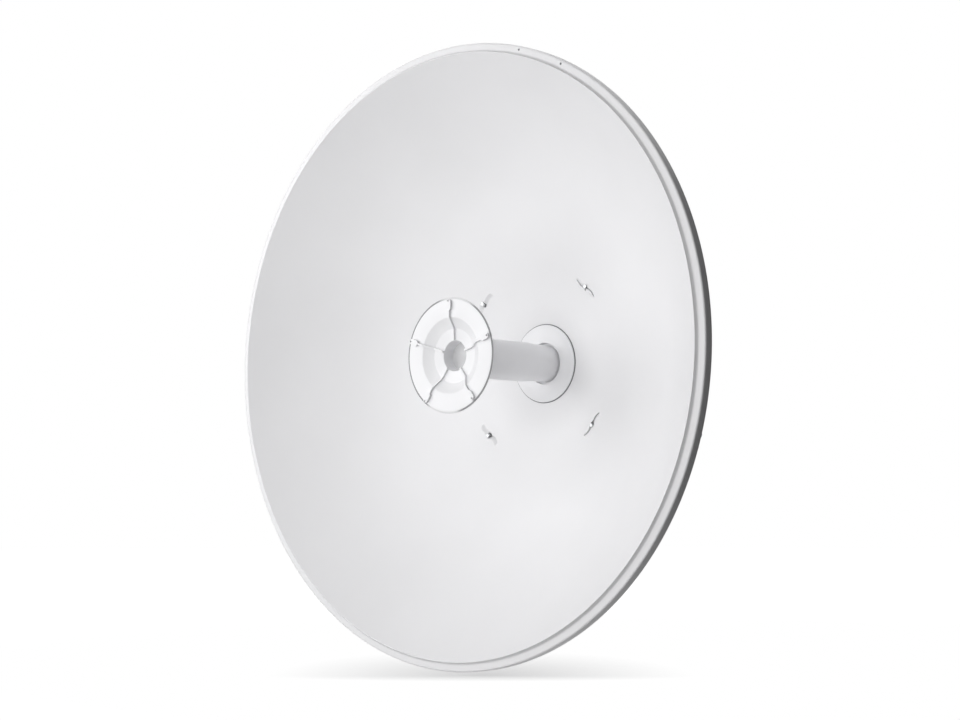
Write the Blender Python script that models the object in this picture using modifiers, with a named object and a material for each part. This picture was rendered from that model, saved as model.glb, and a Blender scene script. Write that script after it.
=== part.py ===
"""Parabolic microwave dish antenna of 0.65 m on a tilting mast bracket.

Metres, +Z up. The dish looks along -Y. The origin is the middle of the flat rear face of the
mast yoke, where it bears on the mast. The reflector, its feed and the dish bracket tilt together
about the pivot bolts, and a bolt in a curved slot on each side locks the tilt.
"""

import math

import bmesh
import bpy
from mathutils import Matrix, Vector

# Reflector: a paraboloid with a crest, a sloping step to a flat lip, and a skirt turned back
REFLECTOR_RADIUS = 0.325
FOCAL_LENGTH = 0.1553
VERTEX_Y = -0.157
SHEET = 0.002
CREST_RADIUS = 0.3146
STEP_DEPTH = 0.0033
STEP_RADIUS = 0.3169
SKIRT_DEPTH = 0.0103
CREST_ROUND = 0.0005
EDGE_ROUND = 0.0013
HUB_HOLE_RADIUS = 0.030
RIM_HOLE_RADIUS = 0.0013
RIM_HOLE_ANGLES = (69.5, 58.75)
REFLECTOR_STEPS = 72
BOWL_RINGS = 11

# Slots in the bowl and the hooks that pass through them
SLOT_RADIUS = 0.1033
SLOT_LENGTH = 0.032
SLOT_WIDTH = 0.0055
HOOK_LENGTH = 0.005
HOOK_THICK = 0.0024
HOOK_REACH = 0.0035

# Feed
BASE_RADIUS = 0.0434
BASE_EDGE = 0.0016
COLLAR_RADIUS = 0.0245
COLLAR_HEIGHT = 0.0030
TUBE_REAR_RADIUS = 0.0200
TUBE_FRONT_RADIUS = 0.0215
TUBE_BORE_RADIUS = 0.0172
TAPER_START = 0.020
TAPER_END = 0.040
DISC_RADIUS = 0.0604
DISC_FRONT = 0.1551
DISC_NECK = 0.0245
DISC_EDGE = 0.0026
DISC_FLAT_RADIUS = 0.0396
DISC_RING_RADIUS = 0.0288
DISC_RING_DEPTH = 0.0070
CUP_MOUTH_RADIUS = 0.0164
CUP_FLOOR_RADIUS = 0.0150
CUP_DEPTH = 0.0210
PLUG_LENGTH = 0.010
HOUSING_FLANGE_RADIUS = 0.0400
HOUSING_RADIUS = 0.0260
HOUSING_LENGTH = 0.048
HOUSING_FLANGE = 0.0045
CONNECTOR_OFFSET = 0.0115
CONNECTOR_RADIUS = 0.0078
CONNECTOR_BASE_RADIUS = 0.0092
CONNECTOR_BORE_RADIUS = 0.0056
CONNECTOR_LENGTH = 0.016
CONNECTOR_BORE_DEPTH = 0.009
HOUSING_SCREW_CIRCLE = 0.0345
SCREW_RADIUS = 0.0020
SCREW_HOLE_RADIUS = 0.0023
SCREW_HEAD_RADIUS = 0.0036
SCREW_HEAD = 0.0040

# Dish bracket behind the bowl
PLATE_HALF = 0.082
PLATE_FRONT_Y = -0.151
PLATE_THICK = 0.003
FOOT_RADIUS = 0.100
FOOT_SIDE = 0.026
FOOT_HEIGHT = 0.030
EAR_THICK = 0.004
DISH_EAR_OUTER = 0.0455
DISH_LOBE = 0.013

# Mast yoke
YOKE_EAR_INNER = 0.051
WEB_THICK = 0.004
WEB_HALF_WIDTH = 0.056
WEB_HALF_HEIGHT = 0.095
YOKE_LOBE = 0.015

# Tilt: pivot below, curved slot above
PIVOT_Y = -0.060
PIVOT_Z = -0.050
LOCK_ARM = 0.105
TILT_LIMIT = 20.0
LOCK_SLOT_WIDTH = 0.0092

# Fasteners of 8 mm
BOLT_RADIUS = 0.004
BOLT_HOLE_RADIUS = 0.0045
HEX_RADIUS = 0.0075
HEX_HEAD = 0.0053
HEX_NUT = 0.0065
WASHER_RADIUS = 0.0100
WASHER_THICK = 0.0016
CLAMP_HEAD_RADIUS = 0.0085
CLAMP_HEAD = 0.0042
CLAMP_BOLT_SPARE = 0.014

# Mast clamp for a mast of 50 mm
MAST_RADIUS = 0.025
CLAMP_BOLT_X = 0.042
CLAMP_BOLT_Z = 0.075
JAW_WIDTH = 0.034
JAW_THICK = 0.004
JAW_HALF_WIDTH = 0.056
JAW_FACE_X = 0.030
JAW_SLOPE = math.radians(30)

# Meshes that touch keep this gap
GAP = 0.0003

LOCK_Z = PIVOT_Z + LOCK_ARM
SIDES = {"left": -1, "right": 1}


def new_collection(name):
    collection = bpy.data.collections.new(name)
    bpy.context.scene.collection.children.link(collection)
    return collection


def make_material(name, color, roughness, metallic=0.0):
    material = bpy.data.materials.new(name)
    material.use_nodes = True
    shader = material.node_tree.nodes["Principled BSDF"]
    shader.inputs["Base Color"].default_value = (*color, 1.0)
    shader.inputs["Roughness"].default_value = roughness
    shader.inputs["Metallic"].default_value = metallic
    material.diffuse_color = (*color, 1.0)
    return material


def place(name, mesh, material=None, collection=None, matrix=None):
    """Link a mesh as an object; without a material it is a cutter or a shape to be joined."""
    obj = bpy.data.objects.new(name, mesh)
    (collection or (PARTS if material else CUTTERS)).objects.link(obj)
    if matrix is not None:
        obj.matrix_world = matrix
    if material:
        mesh.materials.clear()
        mesh.materials.append(material)
    else:
        obj.hide_render = True
        obj.display_type = "WIRE"
    return obj


def mesh_from(bm, name):
    mesh = bpy.data.meshes.new(name)
    bm.to_mesh(mesh)
    bm.free()
    return mesh


def box(name, low, high, material=None, matrix=None):
    """A box between two corners."""
    bm = bmesh.new()
    bmesh.ops.create_cube(bm, size=1.0)
    low, high = Vector(low), Vector(high)
    bmesh.ops.scale(bm, vec=high - low, verts=bm.verts)
    bmesh.ops.translate(bm, vec=(low + high) / 2, verts=bm.verts)
    return place(name, mesh_from(bm, name), material, matrix=matrix)


def cylinder(name, radius, start, end, segments=16, material=None):
    """A cylinder or hexagon prism between two points."""
    start, end = Vector(start), Vector(end)
    bm = bmesh.new()
    bmesh.ops.create_cone(bm, cap_ends=True, segments=segments, radius1=radius, radius2=radius,
                          depth=(end - start).length)
    axis = (end - start).normalized()
    matrix = Matrix.Translation((start + end) / 2)
    matrix @= axis.to_track_quat("Z", "Y").to_matrix().to_4x4()
    obj = place(name, mesh_from(bm, name), material, matrix=matrix)
    smooth(obj)
    return obj


def smooth(obj, angle=40):
    obj.data.shade_smooth()
    obj.data.set_sharp_from_angle(angle=math.radians(angle))


def turned(name, profile, steps, material=None, matrix=None, ring=False):
    """Turn a profile of (radius, height) about local Z; a ring profile closes on itself."""
    mesh = bpy.data.meshes.new(name)
    count = len(profile)
    edges = [(i, i + 1) for i in range(count - 1)]
    if ring:
        edges.append((count - 1, 0))
    mesh.from_pydata([(radius, 0.0, height) for radius, height in profile], edges, [])
    obj = place(name, mesh, material, matrix=matrix if matrix is not None else BORESIGHT)
    screw = obj.modifiers.new("Turn", "SCREW")
    screw.steps = steps
    screw.render_steps = steps
    screw.use_merge_vertices = True
    screw.merge_threshold = 0.00005
    screw.use_smooth_shade = True
    return obj


def outline_plate(name, loops, low, high, matrix, material=None):
    """A flat plate from closed outlines, the first one outside and the others holes."""
    curve = bpy.data.curves.new(name, "CURVE")
    curve.dimensions = "2D"
    curve.fill_mode = "BOTH"
    curve.extrude = (high - low) / 2
    for loop in loops:
        spline = curve.splines.new("POLY")
        spline.points.add(len(loop) - 1)
        for point, (u, v) in zip(spline.points, loop):
            point.co = (u, v, 0.0, 1.0)
        spline.use_cyclic_u = True
    holder = place(name + "_curve", curve, collection=CUTTERS)
    evaluated = holder.evaluated_get(bpy.context.evaluated_depsgraph_get())
    mesh = bpy.data.meshes.new_from_object(evaluated)
    bpy.data.objects.remove(holder)
    bm = bmesh.new()
    bm.from_mesh(mesh)
    bmesh.ops.remove_doubles(bm, verts=bm.verts, dist=0.00001)
    bm.to_mesh(mesh)
    bm.free()
    shift = Matrix.Translation((0, 0, (low + high) / 2))
    return place(name, mesh, material, matrix=matrix @ shift)


def boolean(target, tool, operation):
    modifier = target.modifiers.new(tool.name, "BOOLEAN")
    modifier.operation = operation
    modifier.solver = "EXACT"
    modifier.object = tool


def cut(target, *tools):
    for tool in tools:
        boolean(target, tool, "DIFFERENCE")


def join(target, *tools):
    for tool in tools:
        boolean(target, tool, "UNION")


def arc(radius, start, end, steps, centre=(0.0, 0.0)):
    """Points on an arc, in degrees from +u towards +v."""
    points = []
    for i in range(steps + 1):
        angle = math.radians(start + (end - start) * i / steps)
        points.append((centre[0] + radius * math.cos(angle), centre[1] + radius * math.sin(angle)))
    return points


def circle(radius, centre=(0.0, 0.0), steps=16):
    return arc(radius, 0, 360 - 360 / steps, steps - 1, centre)


def bowl(radius):
    """Height of the paraboloid's front surface above its vertex."""
    return radius ** 2 / (4 * FOCAL_LENGTH)


def behind(radius, distance):
    """The point at a distance behind the front surface, square to it."""
    slope = radius / (2 * FOCAL_LENGTH)
    length = math.hypot(1, slope)
    return radius + distance * slope / length, bowl(radius) - distance / length


def rear_height(radius, distance):
    """Height of the surface that lies a distance behind the bowl, at a radius."""
    front = radius
    for _ in range(20):
        front += radius - behind(front, distance)[0]
    return behind(front, distance)[1]


def bowl_radii(start, end, count):
    return [start + (end - start) * i / (count - 1) for i in range(count)]


def front_points():
    """The bowl's front surface from the hub hole to the crest."""
    return [(r, bowl(r)) for r in bowl_radii(HUB_HOLE_RADIUS, CREST_RADIUS, BOWL_RINGS)]


def seat_height(radius):
    """Height of the flat-sided bowl just above a radius, for a piece that rests on it."""
    points = front_points()
    for (r1, h1), (r2, h2) in zip(points, points[1:]):
        if radius <= r2:
            return h1 + (h2 - h1) * max(radius - r1, 0.0) / (r2 - r1) + GAP
    return points[-1][1] + GAP


def rear_points():
    """The bowl's rear surface from the fold under the crest to the hub hole."""
    fold = CREST_RADIUS - CREST_ROUND
    return [(r, rear_height(r, SHEET)) for r in bowl_radii(fold, HUB_HOLE_RADIUS, BOWL_RINGS)]


def reflector_profile():
    """Clockwise: out along the front, over the rim, and back along the rear."""
    crest = bowl(CREST_RADIUS)
    lip = crest - STEP_DEPTH
    back = lip - SKIRT_DEPTH
    inside = REFLECTOR_RADIUS - SHEET
    rim = [
        (CREST_RADIUS + CREST_ROUND, crest - CREST_ROUND / 3),
        (STEP_RADIUS - CREST_ROUND, lip + CREST_ROUND),
        (STEP_RADIUS + CREST_ROUND, lip),
        (REFLECTOR_RADIUS - EDGE_ROUND, lip),
        (REFLECTOR_RADIUS, lip - EDGE_ROUND),
        (REFLECTOR_RADIUS, back),
        (inside, back),
        (inside, lip - SHEET),
        (STEP_RADIUS - SHEET / 2, lip - SHEET),
    ]
    return front_points() + rim + rear_points()


def make_reflector():
    reflector = turned("reflector", reflector_profile(), REFLECTOR_STEPS, WHITE_PAINT, ring=True)
    for index in range(4):
        turn = BORESIGHT @ Matrix.Rotation(math.radians(45 + 90 * index), 4, "Z")
        low = (SLOT_RADIUS - SLOT_WIDTH / 2, -SLOT_LENGTH / 2, -0.01)
        high = (SLOT_RADIUS + SLOT_WIDTH / 2, SLOT_LENGTH / 2, 0.04)
        cut(reflector, box(f"slot_cutter_{index + 1}", low, high, matrix=turn))
    lip_middle = (STEP_RADIUS + REFLECTOR_RADIUS) / 2
    lip_y = VERTEX_Y - bowl(CREST_RADIUS) + STEP_DEPTH
    for index, angle in enumerate(RIM_HOLE_ANGLES):
        x = lip_middle * math.cos(math.radians(angle))
        z = lip_middle * math.sin(math.radians(angle))
        hole = cylinder(f"rim_hole_cutter_{index + 1}", RIM_HOLE_RADIUS, (x, lip_y - 0.004, z),
                        (x, lip_y + 0.006, z), segments=8)
        cut(reflector, hole)


def make_feed():
    plate_rear = VERTEX_Y - PLATE_FRONT_Y - PLATE_THICK
    edge_rear = seat_height(BASE_RADIUS)
    base_front = edge_rear + BASE_EDGE
    spigot = HUB_HOLE_RADIUS - GAP
    base = [
        (TUBE_REAR_RADIUS + GAP, base_front + COLLAR_HEIGHT),
        (COLLAR_RADIUS - 0.0015, base_front + COLLAR_HEIGHT),
        (COLLAR_RADIUS, base_front + COLLAR_HEIGHT / 2),
        (COLLAR_RADIUS, base_front),
        (BASE_RADIUS - 0.0005, base_front),
        (BASE_RADIUS, base_front - 0.0005),
        (BASE_RADIUS, edge_rear),
        (spigot, seat_height(spigot)),
        (spigot, plate_rear),
        (TUBE_BORE_RADIUS, plate_rear),
        (TUBE_BORE_RADIUS, 0.0),
        (TUBE_REAR_RADIUS + GAP, 0.0),
    ]
    turned("feed_base", base, 48, WHITE_PLASTIC, ring=True)

    disc_rear = DISC_FRONT - DISC_NECK
    tube = [
        (TUBE_BORE_RADIUS, disc_rear - GAP),
        (TUBE_FRONT_RADIUS, disc_rear - GAP),
        (TUBE_FRONT_RADIUS, TAPER_END),
        (TUBE_REAR_RADIUS, TAPER_START),
        (TUBE_REAR_RADIUS, GAP),
        (TUBE_BORE_RADIUS, GAP),
    ]
    turned("feed_tube", tube, 32, WHITE_PLASTIC, ring=True)

    plug = TUBE_BORE_RADIUS - GAP
    disc = [
        (0.0, -CUP_DEPTH),
        (CUP_FLOOR_RADIUS, -CUP_DEPTH),
        (CUP_MOUTH_RADIUS - 0.0004, -DISC_RING_DEPTH - 0.0012),
        (CUP_MOUTH_RADIUS + 0.0004, -DISC_RING_DEPTH - 0.0004),
        (DISC_RING_RADIUS, -DISC_RING_DEPTH),
        (DISC_FLAT_RADIUS - 0.0005, -0.0003),
        (DISC_FLAT_RADIUS + 0.0005, 0.0),
        (DISC_RADIUS - 0.0006, 0.0),
        (DISC_RADIUS, -0.0008),
        (DISC_RADIUS, -DISC_EDGE),
        (0.0560, -0.0060), (0.0300, -0.0130), (0.0225, -0.0160),
        (TUBE_FRONT_RADIUS, -DISC_NECK), (plug, -DISC_NECK),
        (plug, -DISC_NECK - PLUG_LENGTH), (0.0, -DISC_NECK - PLUG_LENGTH),
    ]
    turned("feed_disc", [(r, DISC_FRONT + z) for r, z in disc], 48, WHITE_PLASTIC)


def make_housing():
    plate_rear = VERTEX_Y - PLATE_FRONT_Y - PLATE_THICK
    front = plate_rear - GAP
    flange = front - HOUSING_FLANGE
    end = front - HOUSING_LENGTH
    housing = turned("feed_housing", [
        (0.0, front), (HOUSING_FLANGE_RADIUS, front), (HOUSING_FLANGE_RADIUS, flange),
        (HOUSING_RADIUS, flange), (HOUSING_RADIUS, end + 0.002), (HOUSING_RADIUS - 0.002, end),
        (0.0, end),
    ], 32, DARK_CASTING)
    mouth = end - CONNECTOR_LENGTH
    floor = mouth + CONNECTOR_BORE_DEPTH
    for side, sign in SIDES.items():
        shift = Matrix.Translation((sign * CONNECTOR_OFFSET, 0, 0)) @ BORESIGHT
        turned(f"rf_connector_{side}", [
            (0.0, end - GAP), (CONNECTOR_BASE_RADIUS, end - GAP),
            (CONNECTOR_BASE_RADIUS, end - 0.003), (CONNECTOR_RADIUS, end - 0.003),
            (CONNECTOR_RADIUS, mouth), (CONNECTOR_BORE_RADIUS, mouth),
            (CONNECTOR_BORE_RADIUS, floor), (0.0, floor),
        ], 20, BRASS, matrix=shift)
    for index in range(4):
        angle = math.radians(45 + 90 * index)
        x = HOUSING_SCREW_CIRCLE * math.cos(angle)
        z = HOUSING_SCREW_CIRCLE * math.sin(angle)
        seat_y = VERTEX_Y - flange + GAP
        hole = cylinder(f"screw_hole_cutter_{index + 1}", SCREW_HOLE_RADIUS,
                        (x, PLATE_FRONT_Y - 0.001, z), (x, seat_y + 0.001, z))
        cut(housing, hole)
        SCREW_HOLES.append(hole)
        screw = cylinder(f"housing_screw_{index + 1}", SCREW_RADIUS, (x, PLATE_FRONT_Y + GAP, z),
                         (x, seat_y + SCREW_HEAD / 2, z), material=ZINC)
        join(screw, cylinder(f"screw_head_{index + 1}", SCREW_HEAD_RADIUS, (x, seat_y, z),
                             (x, seat_y + SCREW_HEAD, z)))


def make_dish_bracket():
    plate_rear_y = PLATE_FRONT_Y + PLATE_THICK
    bracket = box("dish_bracket", (-PLATE_HALF, PLATE_FRONT_Y, -PLATE_HALF),
                  (PLATE_HALF, plate_rear_y, PLATE_HALF), GALVANISED)
    rear = [(r, height - GAP) for r, height in rear_points()]
    top = rear[0][1] + 0.01
    space = [(0.0, top), (rear[0][0], top)] + rear + [(0.0, rear[-1][1])]
    rear_cutter = turned("bowl_rear_cutter", space, REFLECTOR_STEPS)
    for index in range(4):
        turn = BORESIGHT @ Matrix.Rotation(math.radians(45 + 90 * index), 4, "Z")
        height = VERTEX_Y - PLATE_FRONT_Y - 0.001
        foot = box(f"foot_{index + 1}", (FOOT_RADIUS - FOOT_SIDE / 2, -FOOT_SIDE / 2, height),
                   (FOOT_RADIUS + FOOT_SIDE / 2, FOOT_SIDE / 2, FOOT_HEIGHT), matrix=turn)
        join(bracket, foot)
    cut(bracket, rear_cutter)
    front = seat_height(SLOT_RADIUS + HOOK_THICK / 2 + HOOK_REACH) + 0.0001
    for index in range(4):
        turn = BORESIGHT @ Matrix.Rotation(math.radians(45 + 90 * index), 4, "Z")
        hook = box(f"hook_{index + 1}", (SLOT_RADIUS - HOOK_THICK / 2, -HOOK_LENGTH / 2, 0.004),
                   (SLOT_RADIUS + HOOK_THICK / 2, HOOK_LENGTH / 2, front + HOOK_THICK), matrix=turn)
        half = HOOK_LENGTH / 2 - 0.001
        low = (SLOT_RADIUS - HOOK_THICK / 2 + 0.0001, -half, front)
        high = (SLOT_RADIUS + HOOK_THICK / 2 + HOOK_REACH, half, front + HOOK_THICK - 0.0002)
        join(bracket, hook, box(f"hook_tip_{index + 1}", low, high, matrix=turn))
    centre = cylinder("hub_cutter", HUB_HOLE_RADIUS, (0, PLATE_FRONT_Y - 0.001, 0),
                      (0, plate_rear_y + 0.001, 0), segments=32)
    cut(bracket, centre, *SCREW_HOLES)
    root = plate_rear_y - 0.0015
    outline = [(root, PIVOT_Z - 0.028)]
    outline += arc(DISH_LOBE, -90, 0, 6, (PIVOT_Y, PIVOT_Z))
    outline += arc(DISH_LOBE, 0, 90, 6, (PIVOT_Y, LOCK_Z))
    outline += [(root, LOCK_Z + 0.025)]
    holes = [circle(BOLT_HOLE_RADIUS, (PIVOT_Y, PIVOT_Z)), circle(BOLT_HOLE_RADIUS, (PIVOT_Y, LOCK_Z))]
    for side, sign in SIDES.items():
        faces = sorted((sign * (DISH_EAR_OUTER - EAR_THICK), sign * DISH_EAR_OUTER))
        join(bracket, outline_plate(f"dish_ear_{side}", [outline] + holes, *faces, SIDEWAYS))


def make_yoke():
    yoke = box("mast_yoke", (-WEB_HALF_WIDTH, -WEB_THICK, -WEB_HALF_HEIGHT),
               (WEB_HALF_WIDTH, 0, WEB_HALF_HEIGHT), GALVANISED)
    pivot = (PIVOT_Y, PIVOT_Z)
    half = LOCK_SLOT_WIDTH / 2
    reach = TILT_LIMIT + 0.5
    outer = LOCK_ARM + YOKE_LOBE
    root = -WEB_THICK / 2
    outline = [(root, PIVOT_Z - 0.034)]
    outline += [(root, LOCK_Z + 0.030)]
    outline += arc(outer, 90 - reach - 4, 90 + reach + 4, 10, pivot)
    outline += arc(YOKE_LOBE, 180, 270, 6, pivot)
    slot = arc(LOCK_ARM + half, 90 - reach, 90 + reach, 12, pivot)
    for end, turn in ((90 + reach, 1), (90 - reach, -1)):
        cap_centre = arc(LOCK_ARM, end, end, 1, pivot)[0]
        if turn > 0:
            slot += arc(half, end, end + 180, 6, cap_centre)[1:-1]
            slot += arc(LOCK_ARM - half, 90 + reach, 90 - reach, 12, pivot)
        else:
            slot += arc(half, end + 180, end + 360, 6, cap_centre)[1:-1]
    for side, sign in SIDES.items():
        faces = sorted((sign * YOKE_EAR_INNER, sign * (YOKE_EAR_INNER + EAR_THICK)))
        loops = [outline, slot, circle(BOLT_HOLE_RADIUS, pivot)]
        join(yoke, outline_plate(f"yoke_ear_{side}", loops, *faces, SIDEWAYS))
    return yoke


def hex_bolt(name, seat, end, top, material):
    """A bolt whose head stands from seat to top and whose shank reaches to end."""
    seat, top = Vector(seat), Vector(top)
    shank = cylinder(name, BOLT_RADIUS, (seat + top) / 2, end, material=material)
    join(shank, cylinder(name + "_head", HEX_RADIUS, seat, top, segments=6))


def ring(name, inner, outer, start, end, segments, material):
    """A washer, spacer or nut between two points."""
    body = cylinder(name, outer, start, end, segments, material)
    start, end = Vector(start), Vector(end)
    along = (end - start).normalized() * 0.001
    cut(body, cylinder(name + "_bore", inner, start - along, end + along, 16))


def make_tilt_fasteners():
    outer_face = YOKE_EAR_INNER + EAR_THICK
    inner_face = DISH_EAR_OUTER - EAR_THICK
    loose = BOLT_RADIUS + GAP
    for side, sign in SIDES.items():
        for kind, z in (("pivot", PIVOT_Z), ("lock", LOCK_Z)):
            def at(x):
                return (sign * x, PIVOT_Y, z)
            head = outer_face + GAP
            if kind == "lock":
                ring(f"lock_washer_{side}", loose, WASHER_RADIUS, at(head),
                     at(head + WASHER_THICK), 20, ZINC)
                head += WASHER_THICK + GAP
            nut_end = inner_face - GAP - HEX_NUT
            hex_bolt(f"{kind}_bolt_{side}", at(head), at(nut_end - 0.002), at(head + HEX_HEAD), ZINC)
            ring(f"{kind}_nut_{side}", loose, HEX_RADIUS, at(inner_face - GAP), at(nut_end), 6, ZINC)
            ring(f"{kind}_spacer_{side}", loose, WASHER_RADIUS, at(DISH_EAR_OUTER + GAP),
                 at(YOKE_EAR_INNER - GAP), 20, ZINC)


def make_mast_clamp(yoke):
    """Two bent jaws and four bolts, set for the mast that stands against the yoke."""
    rise = math.sin(JAW_SLOPE)
    run = math.cos(JAW_SLOPE)
    apex = MAST_RADIUS + MAST_RADIUS / run
    face_y = apex - JAW_FACE_X * math.tan(JAW_SLOPE)
    thick_apex = apex + JAW_THICK / run
    outer_x = JAW_FACE_X + JAW_THICK * math.tan(JAW_SLOPE / 2)
    inner = [(-JAW_HALF_WIDTH, face_y), (-JAW_FACE_X, face_y), (0, apex), (JAW_FACE_X, face_y),
             (JAW_HALF_WIDTH, face_y)]
    outer = [(JAW_HALF_WIDTH, face_y + JAW_THICK), (outer_x, face_y + JAW_THICK), (0, thick_apex),
             (-outer_x, face_y + JAW_THICK), (-JAW_HALF_WIDTH, face_y + JAW_THICK)]
    back = face_y + JAW_THICK
    number = 0
    for place_name, level in (("upper", 1), ("lower", -1)):
        z = level * CLAMP_BOLT_Z
        jaw = outline_plate(f"clamp_jaw_{place_name}", [inner + outer], z - JAW_WIDTH / 2,
                            z + JAW_WIDTH / 2, Matrix.Identity(4), GALVANISED)
        for sign in (-1, 1):
            number += 1
            def at(y):
                return (sign * CLAMP_BOLT_X, y, z)
            hole = cylinder(f"clamp_hole_cutter_{number}", BOLT_HOLE_RADIUS, at(-0.010), at(back + 0.01))
            cut(jaw, hole)
            cut(yoke, hole)
            washer_end = back + GAP + WASHER_THICK
            nut_end = washer_end + GAP + HEX_NUT
            seat = -WEB_THICK - GAP
            bolt = cylinder(f"clamp_bolt_{number}", BOLT_RADIUS, at(seat - CLAMP_HEAD / 2),
                            at(nut_end + CLAMP_BOLT_SPARE), material=ZINC)
            join(bolt, cylinder(f"clamp_bolt_head_{number}", CLAMP_HEAD_RADIUS, at(seat),
                                at(seat - CLAMP_HEAD)))
            loose = BOLT_RADIUS + GAP
            ring(f"clamp_washer_{number}", loose, WASHER_RADIUS, at(back + GAP),
                 at(washer_end), 20, ZINC)
            ring(f"clamp_nut_{number}", loose, HEX_RADIUS, at(washer_end + GAP), at(nut_end), 6, ZINC)


def make_tilt_axis(objects):
    """Parent the tilting pieces, and the cutters that shape them, to an empty on the pivot axis."""
    axis = bpy.data.objects.new("tilt_axis", None)
    axis.location = (0, PIVOT_Y, PIVOT_Z)
    axis.empty_display_size = PLATE_HALF
    PARTS.objects.link(axis)
    for obj in objects:
        obj.parent = axis
        obj.matrix_parent_inverse = Matrix.Translation(axis.location).inverted()


for old in list(bpy.data.objects):
    bpy.data.objects.remove(old)

PARTS = new_collection("microwave_dish_antenna")
CUTTERS = new_collection("cutters")
# Local Z of a turned piece becomes the boresight, local X stays, and local Y becomes up
BORESIGHT = Matrix.Translation((0, VERTEX_Y, 0)) @ Matrix.Rotation(math.radians(90), 4, "X")
# A flat outline drawn in (y, z), with its thickness along x
SIDEWAYS = Matrix(((0, 0, 1, 0), (1, 0, 0, 0), (0, 1, 0, 0), (0, 0, 0, 1)))
SCREW_HOLES = []

WHITE_PAINT = make_material("white_paint", (0.82, 0.82, 0.84), 0.35)
WHITE_PLASTIC = make_material("white_plastic", (0.84, 0.84, 0.85), 0.25)
GALVANISED = make_material("galvanised_steel", (0.62, 0.63, 0.64), 0.45, 1.0)
ZINC = make_material("zinc_plated_steel", (0.70, 0.70, 0.69), 0.30, 1.0)
DARK_CASTING = make_material("grey_casting", (0.35, 0.36, 0.37), 0.5)
BRASS = make_material("nickel_plated_brass", (0.72, 0.68, 0.58), 0.25, 1.0)

make_reflector()
make_feed()
make_housing()
make_dish_bracket()
tilting = list(bpy.data.objects)
make_mast_clamp(make_yoke())
make_tilt_fasteners()
tilting += [obj for obj in bpy.data.objects if obj.name.startswith("lock_")]
make_tilt_axis(tilting)
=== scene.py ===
"""Looks of a 650 mm microwave dish antenna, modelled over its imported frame.

Metres, +Z up. The dish looks along -Y, and the origin is the middle of the mast yoke's rear face.
Each operator makes one piece, or one group of like pieces, where the frame has it.
"""

import math

import bmesh
import bpy
from bpy.props import FloatProperty, FloatVectorProperty, IntProperty, PointerProperty
from mathutils import Matrix, Vector


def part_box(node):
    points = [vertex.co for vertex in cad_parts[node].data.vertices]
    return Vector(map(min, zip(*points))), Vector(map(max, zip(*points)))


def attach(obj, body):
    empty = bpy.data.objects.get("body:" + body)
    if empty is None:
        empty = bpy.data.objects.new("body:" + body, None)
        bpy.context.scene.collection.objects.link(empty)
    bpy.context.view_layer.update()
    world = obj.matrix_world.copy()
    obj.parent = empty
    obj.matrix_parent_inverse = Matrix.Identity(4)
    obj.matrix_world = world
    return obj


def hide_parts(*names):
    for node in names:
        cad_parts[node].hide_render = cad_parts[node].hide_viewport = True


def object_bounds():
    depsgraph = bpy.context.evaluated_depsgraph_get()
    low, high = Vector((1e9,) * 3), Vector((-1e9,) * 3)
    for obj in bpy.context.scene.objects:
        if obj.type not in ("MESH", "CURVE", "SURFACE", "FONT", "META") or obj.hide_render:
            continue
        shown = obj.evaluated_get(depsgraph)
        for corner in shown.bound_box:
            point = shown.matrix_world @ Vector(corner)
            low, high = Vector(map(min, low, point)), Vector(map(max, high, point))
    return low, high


bl_info = {
    "name": "Microwave Dish Antenna",
    "version": (1, 0, 0),
    "blender": (4, 5, 0),
    "location": "View3D > Sidebar > Dish Antenna",
    "description": "Models a parabolic dish antenna with its feed and mast bracket",
    "category": "Object",
}

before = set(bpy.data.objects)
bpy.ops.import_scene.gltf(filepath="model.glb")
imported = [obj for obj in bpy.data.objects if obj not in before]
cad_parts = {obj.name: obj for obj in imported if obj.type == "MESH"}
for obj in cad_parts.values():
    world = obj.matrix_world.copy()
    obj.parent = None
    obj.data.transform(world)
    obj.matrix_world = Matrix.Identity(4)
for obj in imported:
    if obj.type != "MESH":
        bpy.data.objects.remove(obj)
CAD_LOW, CAD_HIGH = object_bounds()

DISH, YOKE = "dish", "yoke"
REFLECTOR_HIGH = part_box("reflector")[1]
DISC_LOW, DISC_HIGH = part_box("feed_disc")
BASE_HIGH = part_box("feed_base")[1]
HOUSING_LOW, HOUSING_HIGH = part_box("feed_housing")
YOKE_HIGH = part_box("mast_yoke")[1]

MM = 0.001
STRAIGHT = Matrix.Identity(4)
# Stands what is drawn in (x, y) up in (x, z)
UPRIGHT = Matrix.Rotation(math.radians(90), 4, "X")
# The bowl's lowest point, and the turned pieces' own axes: local Z is the boresight, local Y is up
VERTEX_Y = -0.157
BORESIGHT = Matrix.Translation((0, VERTEX_Y, 0)) @ UPRIGHT
# A plate drawn in (y, z), with its thickness along x
SIDEWAYS = Matrix(((0, 0, 1, 0), (1, 0, 0, 0), (0, 1, 0, 0), (0, 0, 0, 1)))
# The hinge, in (y, z), and how far above it the lock bolts stand
PIVOT = (-0.06, -0.05)
LOCK_ARM = 0.105
SIDES = {"left": -1, "right": 1}
# Direction from which light falls into the band of painted shade round the disc, where the band is
# painted lighter
BAND_LIGHT_FALL = math.radians(77)
# Radii between which the coat turns to a painted shade at the rim, darker on the lip and skirt
SHADED_RIM_RADII = (0.315, 0.3175)
# The view, and the shaded ellipse on the floor where the rim stands, with its darkness there
VIEW_AZIMUTH = math.radians(42.42)
SHADOW_CENTRE = (0.032, -0.316, CAD_LOW.z)
SHADOW_SIZE = (0.215, 0.34, 1.0)
SHADOW_DEPTH = 0.39
# How fast it fades outwards, and how much sooner it ends towards the camera
SHADOW_FADE = 1.2
SHADOW_FRONT = 5.0
# Distances from the origin between which the floor turns white, and stops being clear
LIT_FLOOR = (0.6, 0.7)
CLEAR_FLOOR = (0.8, 1.0)


def length_property(name, description, default):
    return FloatProperty(name=name, description=description, default=default, min=0.0,
                         unit="LENGTH", precision=4)


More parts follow.
